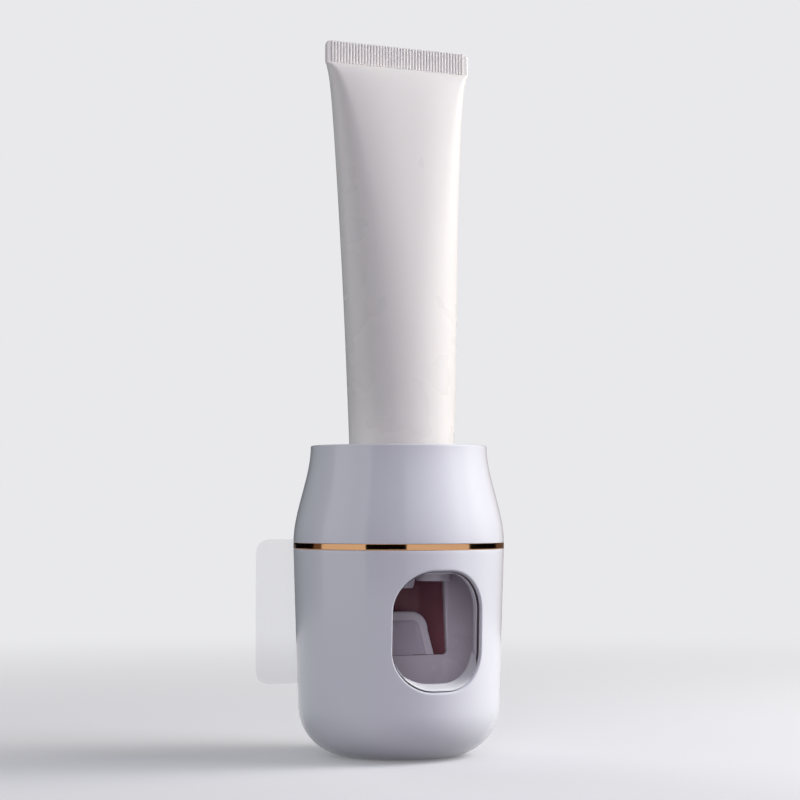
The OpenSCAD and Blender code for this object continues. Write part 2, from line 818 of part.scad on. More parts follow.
// Points along the return spring: a leg behind the paddle, the coil, and a leg on the back wall
coil_steps = 12;
coil_turns = spring_turns + 0.5;
coil_pitch = 2 * (spring_x - wire_r) / coil_turns;
wire_seat = wire_r + 0.1;
function coil_point(i) = let (a = 180 + i * 360 / coil_steps) [
    -spring_x + wire_r + coil_pitch * i / coil_steps, coil_r * cos(a), coil_r * sin(a)
];
spring_path = concat(
    [for (z = [leg_reach, leg_bend]) [-spring_x + wire_r, paddle_back_y + wire_seat - pin_y, z]],
    [for (i = [0 : coil_steps * coil_turns]) coil_point(i)],
    [[spring_x - wire_r, back_y - wire_seat - pin_y, rear_reach]]
);

// Least distance between neighbouring turns, from wire to wire
echo(spring_gap = coil_pitch - 2 * wire_r);

function unit(v) = v / norm(v);

// Polyhedron swept along a path with a given number of sides
module sweep(path, r, sides) {
    last = len(path) - 1;
    function tangent(i) = unit(path[min(i + 1, last)] - path[max(i - 1, 0)]);
    function side_axis(i) = unit(cross(tangent(i), [1, 0.02, 0.03]));
    ring_points = [for (i = [0 : last]) let (u = side_axis(i), v = cross(tangent(i), u))
        for (k = [0 : sides - 1]) let (a = 360 * k / sides) path[i] + r * (cos(a) * u + sin(a) * v)];
    walls = [for (i = [0 : last - 1], k = [0 : sides - 1]) let (n = (k + 1) % sides) each [
        [i * sides + k, (i + 1) * sides + k, i * sides + n],
        [i * sides + n, (i + 1) * sides + k, (i + 1) * sides + n]
    ]];
    caps = [
        [for (k = [0 : sides - 1]) k],
        [for (k = [0 : sides - 1]) last * sides + sides - 1 - k]
    ];
    polyhedron(ring_points, concat(walls, caps));
}

module return_spring() {
    color("#B9BBC0") in_frame() translate([0, pin_y, pin_z]) sweep(spring_path, wire_r, 6);
}

// Outer radius of the collar at a height: a smooth step from the ring to the rim
function collar_r(z) = let (t = (rim_z - z) / collar_h)
    rim_r + (body_r - rim_r) * t * t * (3 - 2 * t);

collar_bands = 16;
collar_step = collar_h / collar_bands;

module collar() {
    inner_low_z = collar_z + spigot_h - ring_h + 2 * seat_gap;
    color("#F1F2F6") in_frame() rotate_extrude() polygon(concat(
        [for (i = [0 : collar_bands]) let (z = collar_z + i * collar_step) [collar_r(z), z]],
        [for (i = [collar_bands : -1 : 0]) let (z = collar_z + i * collar_step)
            if (z > inner_low_z) [collar_r(z) - collar_t, z]],
        [[spigot_r + seat_gap - plug_gap, inner_low_z], [spigot_r + seat_gap - plug_gap, collar_z]]
    ));
}

// Half depth of the sleeve at a share of its length below the crimp
function half_depth(t) = t <= 0 ? crimp_t / 2
    : max(crimp_t / 2, swell * pow(t, swell_power) + (tube_r - swell) * pow(t, 8));

// Half width that keeps the sleeve's girth the same at that half depth
function half_width(b) = flat_half_w - (flat_half_w - tube_r) * pow(b / tube_r, 5 / 3);

function signed_pow(x, p) = sign(x) * pow(abs(x), p);

// One ring of the sleeve: power 2 is an ellipse, more is a flat bar with round ends
function sleeve_ring(z, a, b, power) = [for (k = [0 : sleeve_sides - 1])
    let (u = 360 * (k + 0.5) / sleeve_sides)
    [a * signed_pow(cos(u), 2 / power), b * signed_pow(sin(u), 2 / power), z]];

module tube_sleeve() {
    crimp_z = sleeve_z + sleeve_l;
    body_rings = [for (i = [0 : sleeve_rings])
        let (t = pow(1 - i / sleeve_rings, 1.6), b = half_depth(t))
        sleeve_ring(crimp_z - t * sleeve_l, half_width(b), b, t > 0 ? 2 : 6)];
    crimp_rings = [for (a = [0 : 30 : 90]) sleeve_ring(
        crimp_z + crimp_h - crimp_r * (1 - sin(a)),
        flat_half_w - crimp_r * (1 - cos(a)), crimp_t / 2, 6)];
    rings = concat(body_rings, crimp_rings);
    last = len(rings) - 1;
    n = sleeve_sides;
    walls = [for (i = [0 : last - 1], k = [0 : n - 1]) let (m = (k + 1) % n) each [
        [i * n + k, (i + 1) * n + k, i * n + m],
        [i * n + m, (i + 1) * n + k, (i + 1) * n + m]
    ]];
    caps = [
        [for (k = [0 : n - 1]) k],
        [for (k = [0 : n - 1]) last * n + n - 1 - k]
    ];
    color("#E9E6E6") in_frame()
        polyhedron([for (ring = rings) each ring], concat(walls, caps));
}

module tube_shoulder() {
    ridge_t = 0.8;
    ridges = [for (turn = [0, 1]) neck_end_z + (2 + 2.6 * turn) * ridge_t];
    color("#F2F1F0") in_frame() difference() {
        union() {
            rod_z(neck_r, neck_end_z, neck_top_z + shoulder_t);
            for (z = ridges) rod_z(neck_r + ridge_h, z, z + ridge_t);
            rotate_extrude() polygon([
                [0, neck_top_z], [neck_r, neck_top_z], [tube_r, sleeve_z - shoulder_t / 2],
                [tube_r, sleeve_z], [0, sleeve_z]
            ]);
        }
        rod_z(neck_bore_r, neck_end_z - over, sleeve_z + over);
        rotate_extrude() polygon([
            [0, neck_top_z + shoulder_t], [neck_bore_r, neck_top_z + shoulder_t],
            [tube_r - shoulder_t, sleeve_z], [tube_r - shoulder_t, sleeve_z + over], [0, sleeve_z + over]
        ]);
    }
}

adhesive_pad();
hook_plate();
lower_shell();
trim_ring();
window_frame();
brush_cup();
carrier();
back_screws();
pump_body();
pump_screws();
port_gasket();
inlet_valve();
pump_bulb();
bulb_clamp();
nozzle();
outlet_valve();
tube_socket();
socket_screws();
socket_seal();
paddle();
hinge_pin();
return_spring();
collar();
tube_sleeve();
tube_shoulder();
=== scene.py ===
"""Wall-mounted toothpaste dispenser with its tube: the looks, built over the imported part."""
import logging
import math
from collections.abc import Callable, Iterable, Sequence
from dataclasses import dataclass, field
from enum import Enum

import bmesh
import bpy
from mathutils import Euler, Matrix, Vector


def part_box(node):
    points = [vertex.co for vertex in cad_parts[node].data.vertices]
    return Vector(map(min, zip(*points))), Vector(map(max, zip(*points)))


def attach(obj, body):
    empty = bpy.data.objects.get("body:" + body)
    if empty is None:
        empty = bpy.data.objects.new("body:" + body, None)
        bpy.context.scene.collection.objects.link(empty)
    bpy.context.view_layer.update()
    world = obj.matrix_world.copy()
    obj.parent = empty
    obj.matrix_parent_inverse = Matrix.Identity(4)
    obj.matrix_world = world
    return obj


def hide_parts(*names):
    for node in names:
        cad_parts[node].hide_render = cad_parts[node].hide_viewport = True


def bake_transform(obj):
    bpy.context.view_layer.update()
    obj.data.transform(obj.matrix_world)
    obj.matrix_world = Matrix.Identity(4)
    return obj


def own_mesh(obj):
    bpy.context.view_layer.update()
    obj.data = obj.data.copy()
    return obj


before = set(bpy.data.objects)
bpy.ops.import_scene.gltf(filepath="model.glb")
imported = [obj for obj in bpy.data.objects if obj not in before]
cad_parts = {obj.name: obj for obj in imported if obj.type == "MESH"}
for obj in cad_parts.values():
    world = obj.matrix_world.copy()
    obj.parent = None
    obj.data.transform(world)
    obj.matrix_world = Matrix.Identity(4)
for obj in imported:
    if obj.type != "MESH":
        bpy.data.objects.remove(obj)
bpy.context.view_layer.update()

log = logging.getLogger("dispenser")

# Metres in one millimetre
MM = 0.001
# The part's own frame has its origin on the wall, at the middle of the pad
AXIS_TO_WALL = 40.0
PAD_MIDDLE_HEIGHT = 50.2
# Points that lie closer than this are one point, in metres: in drawn pieces, and in copies of CAD nodes
MERGE = 2e-7
CAD_MERGE = 1e-6
# Faces of a CAD node that turn by less than this are one face, in degrees
CAD_FLAT_DEG = 0.6
# Edges that turn by more than this stay sharp, in degrees: in drawn pieces, CAD nodes, and rounded ones
SHARP_DEG = 35.0
CAD_SHARP_DEG = 30.0
ROUNDED_SHARP_DEG = 50.0
# A rounded corner takes up at most this share of the run on each side of it
CORNER_SHARE = 0.49
# Straight pieces in a large circle that goes round the housing
TURNED_STEPS = 200

Flat = tuple[float, float]
Point = tuple[float, float, float]
# Two coordinates, and the radius that rounds the corner
Corner = tuple[float, float, float]
# Radius, height, and the distance to the flat at the back, or None for a full circle
Level = tuple[float, float, float | None]


def placed(x: float, depth: float, height: float) -> Point:
    """Turns housing millimetres into the part's frame.

    Args:
        x: distance to the right of the housing's axis
        depth: distance from the axis towards the wall
        height: height above the underside of the lower shell

    Returns:
        The same point in metres.
    """
    return (x * MM, (depth - AXIS_TO_WALL) * MM, (height - PAD_MIDDLE_HEIGHT) * MM)


def blend(a: float, b: float, share: float) -> float:
    """The value a given share of the way from a to b."""
    return a + (b - a) * share


def smooth_step(share: float) -> float:
    """A share from 0 to 1 that starts and ends level."""
    share = min(1.0, max(0.0, share))
    return share * share * (3 - 2 * share)


def evenly(a: float, b: float, count: int) -> list[float]:
    """Values from a to b in equal steps, with both ends."""
    return [blend(a, b, k / count) for k in range(count + 1)]


def quarter_turn(steps: int) -> list[float]:
    """Angles from 0 to 90 degrees in equal steps, with both ends, in radians."""
    return [math.radians(90 * k / steps) for k in range(steps + 1)]


def circle(radius: float, steps: int) -> list[Flat]:
    """Points round a circle, from the first axis towards the second."""
    angles = (2 * math.pi * k / steps for k in range(steps))
    return [(radius * math.cos(a), radius * math.sin(a)) for a in angles]


def rounded_path(corners: Sequence[Corner], closed: bool = True, steps: int = 5) -> list[Flat]:
    """A path of straight runs whose corners are rounded.

    Args:
        corners: each corner's two coordinates and its radius
        closed: whether the last corner joins the first
        steps: straight pieces in one rounded corner

    Returns:
        The points of the path.
    """
    path: list[Flat] = []
    count = len(corners)
    for i, (x, y, radius) in enumerate(corners):
        here = Vector((x, y))
        is_end = not closed and i in (0, count - 1)
        if radius <= 0 or is_end:
            path.append((x, y))
            continue
        before = Vector(corners[i - 1][:2]) - here
        after = Vector(corners[(i + 1) % count][:2]) - here
        shorter = min(before.length, after.length)
        reach = min(radius / math.tan(before.angle(after) / 2), shorter * CORNER_SHARE)
        start = here + before.normalized() * reach
        end = here + after.normalized() * reach
        for k in range(steps + 1):
            t = k / steps
            # A quadratic curve is within a hair of the arc at these small radii
            point = start * (1 - t) ** 2 + here * 2 * t * (1 - t) + end * t * t
            path.append((point.x, point.y))
    return path


def srgb(code: str) -> tuple[float, float, float, float]:
    """Turns a hex colour into linear values.

    Args:
        code: an sRGB colour such as #F2F3F8

    Returns:
        Red, green, blue and full alpha.
    """
    values = [int(code[i:i + 2], 16) / 255 for i in (1, 3, 5)]
    linear = [v / 12.92 if v <= 0.04045 else ((v + 0.055) / 1.055) ** 2.4 for v in values]
    return (linear[0], linear[1], linear[2], 1.0)


def emptied(owner: bpy.types.Material | bpy.types.World) -> bpy.types.NodeTree:
    """Turns on the nodes of a material or a world, without any node in its tree.

    Args:
        owner: the material or the world

    Returns:
        Its empty tree.
    """
    owner.use_nodes = True
    owner.node_tree.nodes.clear()
    return owner.node_tree


def live(sockets: Iterable[bpy.types.NodeSocket], name: str) -> bpy.types.NodeSocket:
    """The socket of that name that the node's settings leave in use."""
    return next(socket for socket in sockets if socket.name == name and socket.enabled)


def add_node(tree: bpy.types.NodeTree, kind: str, settings: dict[str, str] | None = None,
             **inputs: object) -> bpy.types.Node:
    """Adds a node with its settings, input values and links.

    Args:
        tree: the node tree that gets it
        kind: the node's Blender type
        settings: attributes of the node
        inputs: values or output sockets by input name, with _ for a space

    Returns:
        The new node.
    """
    node = tree.nodes.new(kind)
    for name, value in (settings or {}).items():
        setattr(node, name, value)
    for name, value in inputs.items():
        socket = live(node.inputs, name.replace("_", " "))
        if isinstance(value, bpy.types.NodeSocket):
            tree.links.new(value, socket)
        else:
            socket.default_value = value
    return node


def computed(tree: bpy.types.NodeTree, kind: str, operation: str,
             *values: bpy.types.NodeSocket) -> bpy.types.NodeSocket:
    """Adds a math node that works on the results of other nodes.

    Args:
        tree: the node tree that gets it
        kind: the node's Blender type
        operation: what it does
        values: the sockets that go into it, in their order

    Returns:
        The socket with its result.
    """
    node = add_node(tree, kind, {"operation": operation})
    for value, socket in zip(values, node.inputs):
        tree.links.new(value, socket)
    return next(socket for socket in node.outputs if socket.enabled)


def mixed_colours(tree: bpy.types.NodeTree, share: bpy.types.NodeSocket, first: str,
                  second: str) -> bpy.types.NodeSocket:
    """Adds a mix of two hex colours.

    Args:
        tree: the node tree that gets it
        share: the socket with the second colour's share
        first: the first colour
        second: the second colour

    Returns:
        The socket with the mix.
    """
    mix = add_node(
        tree, "ShaderNodeMix", {"data_type": "RGBA"}, Factor=share, A=srgb(first), B=srgb(second))
    return live(mix.outputs, "Result")


def mixed_shaders(tree: bpy.types.NodeTree, share: bpy.types.NodeSocket, first: bpy.types.Node,
                  second: bpy.types.Node) -> bpy.types.NodeSocket:
    """Adds a mix of two shader nodes.

    Args:
        tree: the node tree that gets it
        share: the socket with the second shader's share
        first: the first shader
        second: the second shader

    Returns:
        The socket with the mix.
    """
    mix = add_node(tree, "ShaderNodeMixShader", Fac=share)
    tree.links.new(first.outputs[0], mix.inputs[1])
    tree.links.new(second.outputs[0], mix.inputs[2])
    return mix.outputs[0]


class Grain(Enum):
    """How the fine texture of a surface runs."""

    EVEN = (1.0, 1.0, 1.0)
    DRAWN_ALONG_X = (0.04, 1.0, 1.0)
    TURNED_ROUND_Z = (0.25, 0.25, 1.0)
    DRAWN_ALONG_Z = (1.0, 1.0, 0.05)


# Roughness never goes below this
LEAST_ROUGHNESS = 0.02
# The middle part of a noise texture's values, which the roughness follows
NOISE_RANGE = (0.3, 0.7)
# Light that goes into a soft or waxy piece: its share, and how far each colour gets
SOFT_SHARE = 0.2
SOFT_REACH = (1.0, 0.9, 0.8)


@dataclass(frozen=True)
class Finish:
    """A solid material: what it is, its colour, its gloss and its fine texture in millimetres."""

    name: str
    colour: str
    second_colour: str
    roughness: float
    roughness_spread: float = 0.04
    grain: Grain = Grain.EVEN
    grain_mm: float = 0.8
    grain_depth_mm: float = 0.004
    cloud_mm: float = 30.0
    metallic: float = 0.0
    ior: float = 1.5
    coat: float = 0.0
    coat_roughness: float = 0.05
    alpha: float = 1.0
    subsurface_mm: float = 0.0

    def material(self) -> bpy.types.Material:
        """The finish as a material, made the first time that it is asked for."""
        known = bpy.data.materials.get(self.name)
        if known:
            return known
        material = bpy.data.materials.new(self.name)
        tree = emptied(material)
        place = add_node(tree, "ShaderNodeTexCoord").outputs["Object"]
        stretched = add_node(tree, "ShaderNodeMapping", Vector=place, Scale=self.grain.value)
        clouds = add_node(
            tree, "ShaderNodeTexNoise", Vector=place, Scale=1 / (self.cloud_mm * MM), Detail=3.0)
        grain = add_node(
            tree, "ShaderNodeTexNoise", Vector=stretched.outputs["Vector"], Scale=1 / (self.grain_mm * MM),
            Detail=4.0)
        low, high = NOISE_RANGE
        gloss = add_node(
            tree, "ShaderNodeMapRange", {"interpolation_type": "SMOOTHSTEP"}, Value=clouds.outputs["Fac"],
            From_Min=low, From_Max=high, To_Min=max(LEAST_ROUGHNESS, self.roughness - self.roughness_spread),
            To_Max=self.roughness + self.roughness_spread)
        relief = add_node(
            tree, "ShaderNodeBump", Height=grain.outputs["Fac"], Strength=1.0,
            Distance=self.grain_depth_mm * MM)
        colour = mixed_colours(tree, clouds.outputs["Fac"], self.colour, self.second_colour)
        shader = add_node(
            tree, "ShaderNodeBsdfPrincipled", Base_Color=colour, Roughness=gloss.outputs["Result"],
            Normal=relief.outputs["Normal"], Metallic=self.metallic, IOR=self.ior,
            Coat_Weight=self.coat, Coat_Roughness=self.coat_roughness, Alpha=self.alpha)
        if self.subsurface_mm > 0:
            shader.inputs["Subsurface Weight"].default_value = SOFT_SHARE
            shader.inputs["Subsurface Radius"].default_value = SOFT_REACH
            shader.inputs["Subsurface Scale"].default_value = self.subsurface_mm * MM
        add_node(tree, "ShaderNodeOutputMaterial", Surface=shader.outputs["BSDF"])
        return material


# Polished injection-moulded ABS: bright, with a clear soft reflection and hardly any texture
WHITE_GLOSS_ABS = Finish("moulded_abs_white_gloss", "#EDEEF5", "#E9EAF2", 0.17, 0.02, grain_mm=1.6,
                         grain_depth_mm=0.003, coat=0.25, coat_roughness=0.06)
# Moulded ABS from a satin tool: the frame's reflections are broader than the shell's
WHITE_ABS = Finish("moulded_abs_white_satin", "#F8F9FD", "#F4F5FA", 0.28, 0.03, grain_mm=0.5)
# Vacuum-plated polished trim: a mirror with a pink gold tint
ROSE_GOLD = Finish("plated_rose_gold", "#E3B284", "#D6A273", 0.07, 0.02, Grain.TURNED_ROUND_Z, 0.4, 0.0006,
                   metallic=1.0)
# Moulded pale grey ABS inside, spark-eroded tool: fine even texture, satin
GREY_ABS = Finish("moulded_abs_grey_fine", "#EDE8EF", "#E6E1E9", 0.3, 0.04, grain_mm=0.35,
                  grain_depth_mm=0.004)
# The same plastic polished, where the brush rubs
PADDLE_ABS = Finish("moulded_abs_grey_polished", "#DDD8E1", "#D6D1DB", 0.2, 0.03, grain_mm=0.9)
# Its raised border in a paler copy of the same plastic: painted light, as the raised border catches light
# over the shaded dish
LIT_BORDER_ABS = Finish("moulded_abs_grey_rubbed", "#F7F4F9", "#F2EFF5", 0.26, 0.05, grain_mm=0.4)
# Moulded maroon ABS of the pump, satin: its dark maroon also paints the deep shade of the cavity behind the
# paddle
MAROON_SHADE_ABS = Finish("moulded_abs_maroon", "#97636C", "#885760", 0.35, 0.04, grain_mm=0.4,
                    grain_depth_mm=0.006)
# Cured silicone: soft sheen and a slight depth
MAROON_SILICONE = Finish("cured_silicone_maroon", "#A2636D", "#955961", 0.5, 0.05, ior=1.41,
                         subsurface_mm=0.6)
# Cured milky silicone of the valves, the gasket and the socket's seal: soft, and it lets light in
CLEAR_SILICONE = Finish("cured_silicone_milky", "#DADDE0", "#D0D4D8", 0.42, 0.05, ior=1.41, subsurface_mm=1.0)
# Dark matt elastomer seal in the gap between the shell and the window frame: its dark colour is painted shade
# for the shadowed gap
SHADE_SEAL = Finish("moulded_elastomer_dark", "#5B4A52", "#4F4047", 0.55, 0.05, grain_mm=0.5, ior=1.45)
# Cold-drawn steel: fine lines along its length
DRAWN_STEEL = Finish("drawn_steel", "#C6C8CC", "#B4B6BB", 0.24, 0.05, Grain.DRAWN_ALONG_X, 0.12, 0.003,
                     metallic=1.0)
# Extruded plastic laminate: smooth, with a satin print coat and slow waves from handling
LAMINATE = Finish("extruded_laminate_white", "#F1EEEB", "#EEEBE8", 0.3, 0.04, Grain.DRAWN_ALONG_Z, 6.0, 0.02,
                  subsurface_mm=0.5)
# Moulded HDPE: waxy and slightly see-through
WAXY_HDPE = Finish("moulded_hdpe_white", "#F0EEEC", "#E9E7E4", 0.4, 0.04, ior=1.54, subsurface_mm=0.8)
# Cast film with its clear gel: so thin that light goes straight through, so it is see-through by alpha
CLEAR_FILM = Finish("cast_film_clear", "#FAFCFC", "#F5F8F9", 0.06, 0.02, grain_mm=3.0, grain_depth_mm=0.006,
                    ior=1.47, alpha=0.13)


def scaled(x: float, y: float, z: float) -> Point:
    """Turns millimetres round any origin into metres."""
    return (x * MM, y * MM, z * MM)


def linked(name: str, data: bpy.types.ID) -> bpy.types.Object:
    """Puts a new object into the scene.

    Args:
        name: the object's name
        data: its mesh, camera or lamp

    Returns:
        The new object.
    """
    thing = bpy.data.objects.new(name, data)
    bpy.context.scene.collection.objects.link(thing)
    return thing


@dataclass
class Draft:
    """A mesh that is being drawn, in housing millimetres."""

    points: list[Point] = field(default_factory=list)
    faces: list[tuple[int, ...]] = field(default_factory=list)

    def row(self, points: Iterable[Point]) -> list[int]:
        """Adds points.

        Args:
            points: the points, in millimetres

        Returns:
            The numbers that the points have got.
        """
        start = len(self.points)
        self.points.extend(points)
        return list(range(start, len(self.points)))

    def strip(self, first: Sequence[int], second: Sequence[int], closed: bool = True) -> None:
        """Joins two rows of the same length with faces.

        Args:
            first: numbers of the first row's points
            second: numbers of the second row's points
            closed: whether a row's last point joins its first
        """
        count = len(first)
        for i in range(count if closed else count - 1):
            j = (i + 1) % count
            self.faces.append((first[i], first[j], second[j], second[i]))

    def strips(self, rows: Sequence[Sequence[int]], closed: bool = True, ring: bool = False) -> None:
        """Joins each row to the next.

        Args:
            rows: rows of the same length
            closed: whether a row's last point joins its first
            ring: whether the last row joins the first
        """
        for first, second in zip(rows, rows[1:]):
            self.strip(first, second, closed)
        if ring:
            self.strip(rows[-1], rows[0], closed)

    def cap(self, row: Sequence[int]) -> None:
        """Closes a row with one flat face."""
        self.faces.append(tuple(row))

    def solid(self, rows: Sequence[Sequence[int]]) -> None:
        """Joins each row to the next, and closes the first and the last.

        Args:
            rows: closed rows of the same length
        """
        self.strips(rows)
        self.cap(rows[0])
        self.cap(rows[-1])

    def turned(self, profile: Sequence[Flat]) -> None:
        """Turns a closed profile of radius and height round the housing's axis."""
        rows = [self.row((y, -x, z) for x, y in circle(radius, TURNED_STEPS)) for radius, z in profile]
        self.strips(rows, ring=True)

    def mesh(self, name: str, own_origin: bool = False) -> bpy.types.Mesh:
        """Turns the draft into a mesh.

        Args:
            name: the mesh's name
            own_origin: whether it stays round its own origin, and isn't put into the part's frame

        Returns:
            The new mesh, in metres.
        """
        to_metres = scaled if own_origin else placed
        mesh = bpy.data.meshes.new(name)
        mesh.from_pydata([to_metres(*point) for point in self.points], [], self.faces)
        return mesh

    def piece(self, name: str, finish: Finish, sharp_deg: float = SHARP_DEG,
              own_origin: bool = False) -> bpy.types.Object:
        """Turns the draft into an object.

        Args:
            name: the piece's name
            finish: what it is made of
            sharp_deg: edges that turn by more than this stay sharp
            own_origin: whether it stays round its own origin, to be repeated or used as a cutter

        Returns:
            The new object.
        """
        mesh = self.mesh(name, own_origin)
        clean_mesh(mesh)
        return finished(mesh, name, finish, sharp_deg)


def clean_mesh(mesh: bpy.types.Mesh) -> None:
    """Merges doubles, drops empty faces and turns all faces outwards.

    Args:
        mesh: the mesh, which is changed in place
    """
    draft = bmesh.new()
    draft.from_mesh(mesh)
    bmesh.ops.remove_doubles(draft, verts=draft.verts, dist=MERGE)
    bmesh.ops.dissolve_degenerate(draft, edges=draft.edges, dist=MERGE)
    bmesh.ops.recalc_face_normals(draft, faces=draft.faces)
    draft.to_mesh(mesh)
    draft.free()


def shade(mesh: bpy.types.Mesh, sharp_deg: float) -> None:
    """Shades a mesh smooth, apart from the edges that turn by more than an angle."""
    mesh.shade_smooth()
    mesh.set_sharp_from_angle(angle=math.radians(sharp_deg))


def finished(mesh: bpy.types.Mesh, name: str, finish: Finish, sharp_deg: float) -> bpy.types.Object:
    """Puts a mesh into the scene with its finish and smooth shading.

    Args:
        mesh: the mesh
        name: the piece's name
        finish: what it is made of
        sharp_deg: edges that turn by more than this stay sharp

    Returns:
        The new object.
    """
    mesh.materials.clear()
    mesh.materials.append(finish.material())
    shade(mesh, sharp_deg)
    return linked(name, mesh)


def baked(piece: bpy.types.Object) -> None:
    """Replaces a piece's live modifiers by the mesh that they give.

    Args:
        piece: the object, which is changed in place
    """
    bpy.context.view_layer.update()
    graph = bpy.context.evaluated_depsgraph_get()
    mesh = bpy.data.meshes.new_from_object(piece.evaluated_get(graph))
    piece.modifiers.clear()
    piece.data = mesh


NodeMaker = Callable[[bpy.types.NodeTree, bpy.types.NodeOutputs], bpy.types.NodeSocket]


def grown(name: str, finish: Finish, kind: str, maker: NodeMaker,
          inputs: dict[str, tuple[str, object]]) -> bpy.types.Object:
    """Makes a piece with a Geometry Nodes tree and keeps the plain mesh that it gives.

    Args:
        name: the piece's name
        finish: what it is made of
        kind: name of the tree
        maker: function that adds the tree's own nodes and returns the socket with their result
        inputs: socket type and value of each named input

    Returns:
        The new object, with no modifier left.
    """
    tree = bpy.data.node_groups.new(kind, "GeometryNodeTree")
    tree.interface.new_socket("Geometry", in_out="OUTPUT", socket_type="NodeSocketGeometry")
    sockets = {
        label: tree.interface.new_socket(label, in_out="INPUT", socket_type=socket)
        for label, (socket, _) in inputs.items()
    }
    given = add_node(tree, "NodeGroupInput").outputs
    real = add_node(tree, "GeometryNodeRealizeInstances", Geometry=maker(tree, given))
    coloured = add_node(tree, "GeometryNodeSetMaterial", Geometry=real.outputs[0], Material=finish.material())
    add_node(tree, "NodeGroupOutput", Geometry=coloured.outputs[0])
    piece = linked(name, bpy.data.meshes.new(name))
    modifier = piece.modifiers.new(kind, "NODES")
    modifier.node_group = tree
    for label, (_, value) in inputs.items():
        modifier[sockets[label].identifier] = value
    baked(piece)
    shade(piece.data, ROUNDED_SHARP_DEG)
    return piece


def cut_away(piece: bpy.types.Object, cutters: Sequence[bpy.types.Object]) -> bpy.types.Object:
    """Cuts solids out of a piece and removes the cutters.

    Args:
        piece: the object to cut
        cutters: what is taken away from it

    Returns:
        The same object.
    """
    for cutter in cutters:
        cut = piece.modifiers.new("cut", "BOOLEAN")
        cut.operation = "DIFFERENCE"
        cut.solver = "EXACT"
        cut.object = cutter
    baked(piece)
    for cutter in cutters:
        bpy.data.objects.remove(cutter)
    return piece


def softened(node: str, name: str, finish: Finish, edge_mm: float) -> bpy.types.Object:
    """A copy of a CAD node with its doubles merged and its sharp edges rounded.

    Args:
        node: the CAD node to copy
        name: the piece's name
        finish: what it is made of
        edge_mm: width of the rounding

    Returns:
        The new object. The CAD node isn't touched.
    """
    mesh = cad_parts[node].data.copy()
    draft = bmesh.new()
    draft.from_mesh(mesh)
    bmesh.ops.remove_doubles(draft, verts=draft.verts, dist=CAD_MERGE)
    bmesh.ops.dissolve_limit(
        draft, angle_limit=math.radians(CAD_FLAT_DEG), verts=draft.verts, edges=draft.edges)
    draft.to_mesh(mesh)
    draft.free()
    piece = finished(mesh, name, finish, CAD_SHARP_DEG)
    edges = piece.modifiers.new("edges", "BEVEL")
    edges.width = edge_mm * MM
    edges.segments = 2
    edges.limit_method = "ANGLE"
    edges.angle_limit = math.radians(ROUNDED_SHARP_DEG)
    edges.use_clamp_overlap = True
    baked(piece)
    shade(piece.data, ROUNDED_SHARP_DEG)
    return piece


def fit(piece: bpy.types.Object, body: str, slot: str, *nodes: str) -> None:
    """Ties a piece to its body and hides the CAD nodes that it stands for.

    Args:
        piece: the object
        body: the body that it moves with
        slot: not used
        nodes: the CAD nodes that it takes the place of
    """
    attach(piece, body)
    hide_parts(*nodes)
    faces = len(piece.data.polygons)
    log.info("%s: %d faces, on %s, for %s", piece.name, faces, body, ", ".join(nodes))


def dress(node: str, finish: Finish) -> None:
    """Gives a CAD node that stays in view its finish.

    Args:
        node: the CAD node
        finish: what it is made of
    """
    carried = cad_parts[node]
    if not carried.material_slots:
        carried.data.materials.append(None)
    for slot in carried.material_slots:
        slot.link = "OBJECT"
        slot.material = finish.material()
    log.info("%s: carried over as %s", node, finish.name)


@dataclass(frozen=True)
class Window:
    """The brush window: a rectangle with round corners, cut straight through the front."""

    width: float = 33.4
    height: float = 41.6
    corner: float = 14.0
    middle: float = 45.8
    side_steps: int = 40

    def outline(self, margin: float) -> list[Flat]:
        """The window's outline, grown by a margin.

        Args:
            margin: how far the outline is moved out, in millimetres

        Returns:
            Points in X and height, evenly spaced on each side, from the lower left corner
            along the bottom and round to the left side.
        """
        half_w = self.width / 2 + margin
        half_h = self.height / 2 + margin
        radius = self.corner + margin
        arc = radius * math.pi / 4
        points: list[Flat] = []
        for along, out, run, reach in (
            ((1, 0), (0, -1), half_w, half_h), ((0, 1), (1, 0), half_h, half_w),
            ((-1, 0), (0, 1), half_w, half_h), ((0, -1), (-1, 0), half_h, half_w),
        ):
            straight = 2 * (run - radius)
            for k in range(self.side_steps):
                s = (2 * arc + straight) * k / self.side_steps
                if s < arc:
                    centre, angle = -(run - radius), -(arc - s) / radius
                elif s > arc + straight:
                    centre, angle = run - radius, (s - arc - straight) / radius
                else:
                    centre, angle = s - arc - straight / 2, 0.0
                a = centre + radius * math.sin(angle)
                b = reach - radius + radius * math.cos(angle)
                points.append((along[0] * a + out[0] * b, along[1] * a + out[1] * b + self.middle))
        return points

    def loop(self, margin: float, radius: Callable[[float], float]) -> list[Point]:
        """The outline laid on a round wall whose radius depends on the height."""
        return [(x, -math.sqrt(radius(z) ** 2 - x * x), z) for x, z in self.outline(margin)]


